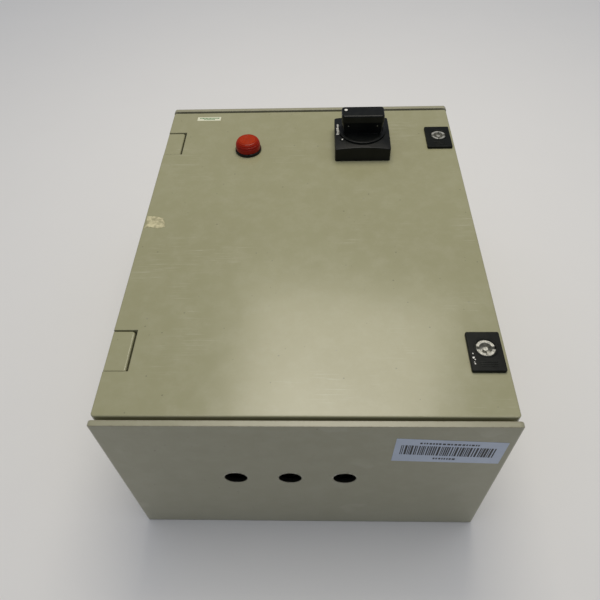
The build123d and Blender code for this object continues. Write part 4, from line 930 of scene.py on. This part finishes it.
@dataclass
class Handle:
    """Marks and small trim of the rotary disconnect handle."""

    dot_radius: float = 2.0 * MM
    dot_place: Point = (-18.15 * MM, 3.0 * MM, -0.18 * MM)
    pin_radius: float = 0.9 * MM
    pin_place: Point = (15.5 * MM, -8.0 * MM, -12.5 * MM)
    base_dome: float = 185.0 * MM
    base_well: float = 25.65 * MM
    tick_count: int = 9
    tick_place: tuple[float, float] = (-26.6 * MM, 13.0 * MM)
    tick_pitch: float = 2.35 * MM
    tab_place: tuple[float, float] = (-22.0 * MM, -15.6 * MM)
    tab_size: Point = (4.4 * MM, 4.4 * MM, 0.9 * MM)
    spot_radius: float = 0.9 * MM

    def build(self) -> None:
        """Add the pointer dot, grip pins, switch marks and padlock tab."""
        center = middle("handle_base")
        top = Vector((center.x, center.y, high("handle_dial").z))
        radius = self.dot_radius
        dot = lathe("handle_pointer_dot", [(radius, 0), (radius, 0.10 * MM),
                                           (radius * 0.85, 0.18 * MM), (0, 0.2 * MM)],
                    top + Vector(self.dot_place), 40)
        Piece(dot, Palette.WHITE_INK, "handle").place()
        radius = self.pin_radius
        out, front, drop = self.pin_place
        profile = [(radius, 0), (radius, 0.5 * MM), (radius * 0.6, 0.8 * MM), (0, 0.85 * MM)]
        pins = [lathe("pin", profile, top + Vector((side * out, front, drop)), 24, axis="Y")
                for side in (-1, 1)]
        Piece(joined("handle_grip_pins", pins), Palette.ZINC, "handle").place()
        self._ticks(center)
        self._tab(center)

    def _on_dome(self, center: Vector, x: float, y: float) -> Vector:
        """Point on the domed base, at the given place beside its centre."""
        dome = self.base_dome
        foot = high("handle_base").z - math.sqrt(dome ** 2 - self.base_well ** 2)
        return Vector((center.x + x, center.y + y, foot + math.sqrt(dome ** 2 - x ** 2 - y ** 2)))

    def _ticks(self, center: Vector) -> None:
        """Column of plain ticks at the left of the dial."""
        draw = random.Random(11)
        marks = []
        left, first = self.tick_place
        for row in range(self.tick_count):
            length = draw.choice((1.4, 2.4, 3.0)) * MM
            size = Vector((length, draw.uniform(0.9, 1.5) * MM, 0.2 * MM))
            place = self._on_dome(center, left, first - row * self.tick_pitch)
            place += Vector((draw.uniform(-0.3, 0.3), 0.0, 0.02)) * MM
            marks.append(plate("tick", size, place, 0.06 * MM, 1))
        Piece(joined("handle_scale_ticks", marks), Palette.WHITE_INK, "door").place()

    def _tab(self, center: Vector) -> None:
        """Small tab with a pale dot, at the lower left of the dial."""
        place = self._on_dome(center, *self.tab_place)
        tab = plate("handle_tab", Vector(self.tab_size), place, 0.3 * MM, 2,
                    Euler((0, 0, math.radians(45))))
        Piece(tab, Palette.BLACK, "door").place()
        radius = self.spot_radius
        spot = lathe("handle_tab_dot", [(radius, 0), (radius, 0.1 * MM), (0, 0.14 * MM)],
                     place + UP * 0.44 * MM, 32)
        Piece(spot, Palette.WHITE_INK, "door").place()


@dataclass
class Locks:
    """Collars, moulded ribs and paint specks of the two lock housings.

    The collar's profile and the specks' heights and sizes are in millimetres.
    """

    collar: tuple[tuple[float, float], ...] = (
        (8.5, -0.1), (8.5, 0.25), (8.8, 0.45), (9.4, 0.45), (9.8, 0.2), (9.9, -0.1))
    rib_count: int = 3
    rib_edge: float = 4.4 * MM
    rib_pitch: float = 2.0 * MM
    rib_share: float = 0.5
    rib_middle: float = 0.52
    specks: tuple[tuple[float, float], ...] = (
        (16.5, 0.7), (12.6, 1.1), (10.8, 0.6), (8.4, 0.5), (6.6, 0.7))

    def build(self) -> None:
        """Dress both locks."""
        for name in ("upper", "lower"):
            box_low, box_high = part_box(f"lock_housing_{name}")
            barrel = middle(f"lock_barrel_{name}")
            face = box_high.z
            ring = lathe(f"lock_collar_{name}", [(r * MM, z * MM) for r, z in self.collar],
                         Vector((barrel.x, barrel.y, face)), 72)
            Piece(ring, Palette.TEXTURED, "door").place()
            width = box_high.x - box_low.x
            ribs = [plate("rib", Vector((width * self.rib_share, 1.0 * MM, 0.5 * MM)),
                          Vector((box_low.x + width * self.rib_middle,
                                  box_low.y + self.rib_edge + self.rib_pitch * step,
                                  face + 0.05 * MM)), 0.2 * MM) for step in range(self.rib_count)]
            Piece(joined(f"lock_ribs_{name}", ribs), Palette.TEXTURED, "door").place()
            if name == "lower":
                self._paint(box_low, face)

    def _paint(self, corner: Vector, face: float) -> None:
        """Few specks of pale paint near the lower lock's left edge."""
        draw = random.Random(3)
        specks = []
        for reach, size in self.specks:
            spot = Vector((corner.x + draw.uniform(2.2, 4.6) * MM, corner.y + reach * MM, face))
            rim = [spot + Vector((math.cos(a), math.sin(a), 0)) * size * MM * draw.uniform(0.6, 1.1)
                   for a in (0.0, 0.9, 1.8, 2.8, 3.7, 4.6, 5.5)]
            specks.append(sheet_patch("speck", rim, UP, 0.08 * MM))
        Piece(joined("lock_paint_specks", specks), Palette.WHITE_INK, "door").place()


@dataclass
class Labels:
    """Labels, tape remnant and drilled rims on the case and the door.

    Rows, spans and outlines are in millimetres. A label row is its height, rise and length; a
    sticker row is its top, height, start and end.
    """

    label_place: tuple[float, float] = (-119.7 * MM, 193.8 * MM)
    label_size: Point = (28.0 * MM, 7.5 * MM, 0.2 * MM)
    label_rows: tuple[Point, ...] = ((1.9, 1.2, 22.0), (1.3, -1.4, 12.0))
    label_gap: float = 0.45
    sticker: tuple[tuple[float, float], ...] = (
        (71.6, 184.6), (158.8, 177.9), (158.4, 140.8), (70.6, 145.4))
    sticker_wide: float = 87.4
    sticker_tall: float = 39.2
    bar_span: tuple[float, float] = (5.0, 81.0)
    bar_rows: tuple[float, float] = (10.5, 16.0)
    dash_rows: tuple[tuple[float, float, float, float], ...] = (
        (5.0, 2.6, 19.0, 66.0), (30.5, 2.8, 33.0, 51.0))
    tape: tuple[tuple[float, float], ...] = (
        (-162.0, 20.4), (-153.0, 20.0), (-145.3, 17.4), (-142.5, 11.0), (-141.1, 4.8),
        (-148.0, 2.6), (-156.0, 4.4), (-161.8, 2.9), (-160.4, 10.0))
    chip_depth: float = 1.9 * MM

    def build(self) -> None:
        """Add each label and mark."""
        self._door_label()
        self._end_sticker()
        self._tape()
        self._rims()

    def _door_label(self) -> None:
        """Small cream label with green blocks, near the door's upper left corner."""
        center = Vector((*self.label_place, high("door").z + SKIN))
        label = plate("door_label", Vector(self.label_size), center, 0.08 * MM, 1)
        Piece(label, Palette.LABEL_CREAM, "door").place()
        draw = random.Random(7)
        blocks = []
        for height, rise, reach in self.label_rows:
            x = -reach / 2
            while x < reach / 2:
                width = draw.uniform(0.9, 1.9)
                spot = center + Vector((x + width / 2, rise, 0.1)) * MM
                size = Vector((width, height, 0.12)) * MM
                blocks.append(plate("block", size, spot, 0.03 * MM, 1))
                x += width + self.label_gap
        Piece(joined("door_label_blocks", blocks), Palette.LABEL_GREEN, "door").place()

    def _end_sticker(self) -> None:
        """Film sticker with plain bars and dashes on the case's lower end."""
        wall = low("enclosure_body").y
        corners = [Vector((x * MM, wall, z * MM)) for x, z in self.sticker]
        normal = Vector((0, -1, 0))
        film = sheet_patch("end_sticker", corners, normal, 0.15 * MM)
        Piece(film, Palette.STICKER, "case").place()
        across = (corners[1] - corners[0]) / self.sticker_wide
        down = (corners[3] - corners[0]) / self.sticker_tall

        def strip(reach: float, top: float, width: float, height: float) -> bpy.types.Object:
            """One printed strip, placed in millimetres across and down the sticker."""
            start = corners[0] + across * reach + down * top + normal * 0.14 * MM
            outline = [start, start + across * width, start + across * width + down * height,
                       start + down * height]
            return sheet_patch("strip", outline, normal, 0.05 * MM)

        draw = random.Random(4)
        bars = []
        reach, end = self.bar_span
        while reach < end:
            width = draw.choice((0.7, 0.7, 1.1, 1.7))
            bars.append(strip(reach, self.bar_rows[0], width, self.bar_rows[1]))
            reach += width + draw.choice((0.5, 0.7, 1.1))
        for top, height, reach, end in self.dash_rows:
            while reach < end:
                width = draw.uniform(1.0, 2.4)
                bars.append(strip(reach, top, width, height))
                reach += width + draw.uniform(0.7, 1.2)
        Piece(joined("end_sticker_bars", bars), Palette.INK, "case").place()

    def _tape(self) -> None:
        """Torn remnant of tape at the door's left edge."""
        face = high("door").z
        outline = [Vector((x * MM, y * MM, face + SKIN)) for x, y in self.tape]
        patch = sheet_patch("tape_remnant", outline, UP, 0.12 * MM, 0.8 * MM, 8)
        Piece(patch, Palette.TAPE, "door").place()

    def _rims(self) -> None:
        """Chipped rims round the drilled cable holes."""
        wall = low("enclosure_body").y
        for step, mount in enumerate(drilled()):
            x, _, z = mount["pos_m"]
            radius = mount["dims"]["r_mm"] * MM

            def chip(angle: float, _: float, seed: int = step) -> float:
                """How far the rim is broken away at an angle."""
                spot = Vector((math.cos(angle), math.sin(angle), seed * 3.7))
                rough = abs(noise.noise(spot * 2.6)) + 0.5 * abs(noise.noise(spot * 9.0))
                return rough * self.chip_depth

            center = Vector((x, wall, z))
            edge = (radius + 0.1 * MM, 0.12 * MM)
            inner = lathe("inner", [(radius + 0.02 * MM, 0.3 * MM), edge], center, 72, axis="Y")
            outer = lathe("outer", [edge, (radius + 0.6 * MM, 0.02 * MM)], center, 72, chip, "Y")
            Piece(joined(f"cable_hole_rim_{step}", [inner, outer]), Palette.CHIPPED, "case").place()


@dataclass
class Devices:
    """Labels, markers, sleeves and ties on the control gear inside the case."""

    plate_thickness: float = 0.35 * MM
    dash_start: tuple[float, float] = (1.4, 1.6)
    dash_stop: tuple[float, float] = (3.0, 1.2)
    dash_pitch: float = 1.7
    ridge_count: int = 5
    ridge_pitch: float = 1.8 * MM
    scale_radius: float = 9.6 * MM
    terminals: int = 8
    fuse_face: float = 75.0 * MM
    control_radius: float = 1.2 * MM
    power_radius: float = 1.8 * MM
    lane: float = 44.5 * MM
    gasket_seat: float = 4.5 * MM
    marker: Vector = Vector((6.0, 8.6, 0.9)) * MM
    sleeve_length: float = 3.1 * MM
    sleeve_wall: float = 0.5 * MM
    tie_size: tuple[float, float] = (15.2 * MM, 4.9 * MM)
    tie_places: tuple[tuple[float, float], ...] = ((4.5, -8.0), (4.1, 30.0), (4.9, 80.0))
    strap: tuple[float, float] = (2.4 * MM, 0.6 * MM)
    head_share: float = 0.3
    sheet: Vector = Vector((118.0, 84.0, 0.2)) * MM
    sheet_place: tuple[float, float] = (10.0 * MM, -70.0 * MM)

    def build(self) -> None:
        """Dress each device, the wires and the inside of the door."""
        axis = middle("handle_base").x
        cover, relay = high("contactor_cover"), high("overload_case").z
        breaker = Vector((axis, middle("breaker_case").y, high("breaker_case").z))
        fuse = middle("fuse_carrier")
        for name, spot, wide, tall, seed in (
                ("breaker_plate_low", breaker - Vector((0, 18 * MM, 0)), 32, 8.5, 11),
                ("breaker_plate_high", breaker + Vector((0, 18.5 * MM, 0)), 36, 8, 12),
                ("contactor_plate", Vector((axis, cover.y - 8 * MM, cover.z)), 32, 8, 13),
                ("relay_plate", Vector((axis, middle("overload_stop_button").y, relay)), 12, 8, 14),
                ("fuse_plate", Vector((fuse.x, fuse.y - 3 * MM, self.fuse_face)), 8, 15, 15)):
            self._nameplate(name, spot, wide, tall, seed)
        self._ridges(Vector((axis, low("contactor_cover").y + 4.0 * MM, cover.z + 0.2 * MM)))
        self._dial_scale(middle("overload_dial"), relay)
        self._markers()
        self._sleeves()
        self._ties()
        self._diagram()

    def _nameplate(self, name: str, spot: Vector, wide: float, tall: float, seed: int) -> None:
        """Pale plate with rows of plain dashes.

        Args:
            name: name of the plate.
            spot: centre of its back.
            wide: width in millimetres.
            tall: height in millimetres.
            seed: seed of the dashes' lengths.
        """
        body = plate(name, Vector((wide * MM, tall * MM, self.plate_thickness)),
                     spot + UP * self.plate_thickness / 2, 0.12 * MM)
        Piece(body, Palette.LABEL_CREAM, "case").place()
        draw = random.Random(seed)
        dashes = []
        y = tall / 2 - self.dash_start[1]
        while y > self.dash_stop[1] - tall / 2:
            x = self.dash_start[0] - wide / 2
            while x < wide / 2 - self.dash_stop[0]:
                length = draw.uniform(0.8, 2.4)
                place = spot + Vector(((x + length / 2) * MM, y * MM, self.plate_thickness))
                dashes.append(plate("dash", Vector((length, 0.7, 0.08)) * MM, place, 0.02 * MM, 1))
                x += length + draw.uniform(0.5, 1.3)
            y -= self.dash_pitch
        Piece(joined(name + "_print", dashes), Palette.INK, "case").place()

    def _ridges(self, first: Vector) -> None:
        """Finger ridges across the contactor's cover, from the lowest one up."""
        ridges = [plate("ridge", Vector((34.0, 0.8, 0.7)) * MM,
                        first + Vector((0, self.ridge_pitch * step, 0)), 0.25 * MM)
                  for step in range(self.ridge_count)]
        Piece(joined("contactor_ridges", ridges), Palette.LIGHT_GREY, "case").place()

    def _dial_scale(self, center: Vector, face: float) -> None:
        """Scale ticks round the relay's setting dial."""
        ticks = []
        for step in range(11):
            angle = math.radians(-30 + 24 * step)
            away = Vector((math.cos(angle), math.sin(angle), 0))
            spot = Vector((center.x, center.y, face + 0.05 * MM)) + away * self.scale_radius
            ticks.append(plate("tick", Vector((1.8, 0.4, 0.12)) * MM, spot, 0.03 * MM, 1,
                               Euler((0, 0, angle))))
        Piece(joined("relay_scale", ticks), Palette.WHITE_INK, "case").place()

    def _terminal(self, step: int) -> Vector:
        """Middle of one terminal's top, counted from the left."""
        box_low, box_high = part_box("terminal_blocks")
        pitch = (box_high.x - box_low.x + 0.2 * MM) / self.terminals
        return Vector((box_low.x + (step + 0.5) * pitch - 0.1 * MM, (box_low.y + box_high.y) / 2,
                       box_high.z))

    def _markers(self) -> None:
        """White marker tag on each terminal, between its two screws."""
        tags = [plate("tag", self.marker, self._terminal(step) + UP * 0.3 * MM, 0.25 * MM)
                for step in range(self.terminals)]
        Piece(joined("terminal_markers", tags), Palette.DIAL, "case").place()

    def _sleeves(self) -> None:
        """Pale sleeve on each wire where it enters a terminal from above."""
        edge = high("terminal_blocks").y
        sleeves = []
        for step in range(1, self.terminals):
            radius = self.control_radius if step == 1 else self.power_radius
            inner, outer = radius + 0.03 * MM, radius + self.sleeve_wall
            end = self.sleeve_length
            ring = [(inner, 0.0), (outer - 0.1 * MM, 0.0), (outer, 0.15 * MM),
                    (outer, end - 0.15 * MM), (outer - 0.1 * MM, end), (inner, end)]
            top = self._terminal(step)
            foot = Vector((top.x, edge + 0.3 * MM + end, top.z - 12.0 * MM))
            sleeves.append(lathe("sleeve", ring, foot, 32, axis="Y"))
        Piece(joined("wire_sleeves", sleeves), Palette.DIAL, "case").place()

    def _ties(self) -> None:
        """Cable ties round the three supply wires, where they lie on the plate."""
        level = low("supply_wires").z + self.power_radius
        left = middle("breaker_case").x - self.lane
        wide, tall = self.tie_size
        breadth, thick = self.strap
        head = Vector((wide * self.head_share, 0, tall / 2))
        for step, (x, y) in enumerate(self.tie_places):
            center = Vector((left + x * MM, y * MM, level))
            strips = []
            for size, shift in ((Vector((wide, breadth, thick)), UP * tall / 2),
                                (Vector((thick, breadth, tall)), Vector((wide / 2, 0, 0)))):
                strips += [plate("strap", size, center + shift * side, 0.2 * MM)
                           for side in (-1, 1)]
            strips.append(plate("head", Vector((3.4, 3.8, 2.6)) * MM,
                                center + head + UP * 1.0 * MM, 0.5 * MM))
            strips.append(plate("tail", Vector((1.0, 2.2, 4.0)) * MM,
                                center + head + UP * 3.6 * MM, 0.3 * MM))
            Piece(joined(f"cable_tie_{step}", strips), Palette.BOBBIN, "case").place()

    def _diagram(self) -> None:
        """Paper sheet with a plain circuit sketch, glued inside the door."""
        face = low("door_gasket").z + self.gasket_seat
        center = Vector((*self.sheet_place, face - self.sheet.z / 2))
        paper = plate("door_sheet", self.sheet, center, 0.05 * MM, 1)
        Piece(paper, Palette.LABEL_CREAM, "door").place()
        strokes: list[bpy.types.Object] = []

        def stroke(x: float, y: float, wide: float, tall: float) -> None:
            """Add one straight stroke, in millimetres from the sheet's centre."""
            spot = center + Vector((x * MM, y * MM, -self.sheet.z / 2))
            strokes.append(plate("stroke", Vector((wide, tall, 0.1)) * MM, spot, 0.02 * MM, 1))

        for x in (-44.0, -32.0, -20.0):
            for y, tall in ((27, 16), (0, 18), (-26, 14)):
                stroke(x, y, 0.6, tall)
            for y in (14.0, -14.0):
                for side in (1, -1):
                    stroke(x, y + 4.5 * side, 6, 0.6)
                    stroke(x - 3 * side, y, 0.6, 9)
        for y in (28.0, 12.0, -4.0, -20.0):
            stroke(22, y, 56, 0.5)
            stroke(8, y, 0.5, 5)
            stroke(34, y, 0.5, 5)
        for x in (-6, 50):
            stroke(x, 4, 0.6, 48)
        for x in range(-50, 52, 9):
            stroke(x, -37, 6, 0.9)
        Piece(joined("door_sheet_print", strokes), Palette.INK, "door").place()


@dataclass
class HingeLead:
    """Free loop of the pilot light's lead, across the hinge between case and door.

    A bend is its place along X and Y in millimetres, and its share of the rise to the door.
    """

    radius: float = 1.7 * MM
    bends: tuple[Point, ...] = ((0, 18, 0.0), (-1, 38, 0.2), (-2, 46, 0.48), (-1, 50, 0.76))
    turn_in: Point = (3 * MM, 64 * MM, -3 * MM)
    in_clip: float = 6.0 * MM
    run_in: float = 10.0 * MM

    def build(self) -> None:
        """Build the loop between its two clips."""
        start = self._through(middle("case_clip"), high("case_clip").y)
        end = self._through(middle("door_clip"), low("door_clip").y)
        rise = end.z - start.z
        points = [start - Vector((0, self.in_clip, 0)), start]
        points += [start + Vector((x * MM, y * MM, share * rise)) for x, y, share in self.bends]
        points += [start + UP * rise + Vector(self.turn_in), end - Vector((0, self.run_in, 0)), end,
                   end + Vector((0, self.in_clip, 0))]
        loop = tube("hinge_lead_loop", points, self.radius)
        loop.data.materials.append(Palette.LEAD.build())
        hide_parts("hinge_lead")
        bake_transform(loop)
        LOG.info("piece %s bends between case and door", loop.name)

    def _through(self, clip: Vector, y: float) -> Vector:
        """Point where the lead leaves a clip."""
        lead_low, lead_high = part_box("hinge_lead")
        below = clip.z < middle("hinge_lead").z
        return Vector((clip.x, y, lead_low.z + self.radius if below else lead_high.z - self.radius))


@dataclass
class ReturnSprings:
    """Two coil springs under the contactor's carrier."""

    turns: int = 5
    steps: int = 20
    coil_radius: float = 2.6 * MM
    wire_radius: float = 0.45 * MM
    travel: float = 4.9 * MM

    def build(self) -> None:
        """Build both coils as one piece."""
        box_low, box_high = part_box("return_springs")
        height = box_high.z - box_low.z
        reach = self.coil_radius + self.wire_radius
        y = (box_low.y + box_high.y) / 2
        coils = [self._coil(Vector((x, y, box_low.z)), height)
                 for x in (box_low.x + reach, box_high.x - reach)]
        springs = joined("return_spring_coils", coils)
        Piece(springs, Palette.SPRING, "case").place()
        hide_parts("return_springs")
        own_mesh(springs)

    def _coil(self, foot: Vector, height: float) -> bpy.types.Object:
        """Build one coil that stands on its foot and has the given outer height."""
        rise = height - 2 * self.wire_radius
        count = self.turns * self.steps
        points = []
        for step in range(count + 1):
            share = step / count
            angle = math.tau * self.turns * share
            points.append(foot + Vector((self.coil_radius * math.cos(angle),
                                         self.coil_radius * math.sin(angle),
                                         self.wire_radius + rise * share)))
        return tube("coil", points, self.wire_radius, sides=12)


# ------------------------------------------------------------------------------ main
def main() -> None:
    """Build and dress the starter."""
    logging.basicConfig(level=logging.INFO, format="%(message)s")
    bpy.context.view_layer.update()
    Studio().build()
    dress_frame()
    for group in (PilotLight(), Handle(), Locks(), Labels(), Devices(), HingeLead(),
                  ReturnSprings()):
        group.build()


if __name__ == "__main__":
    main()
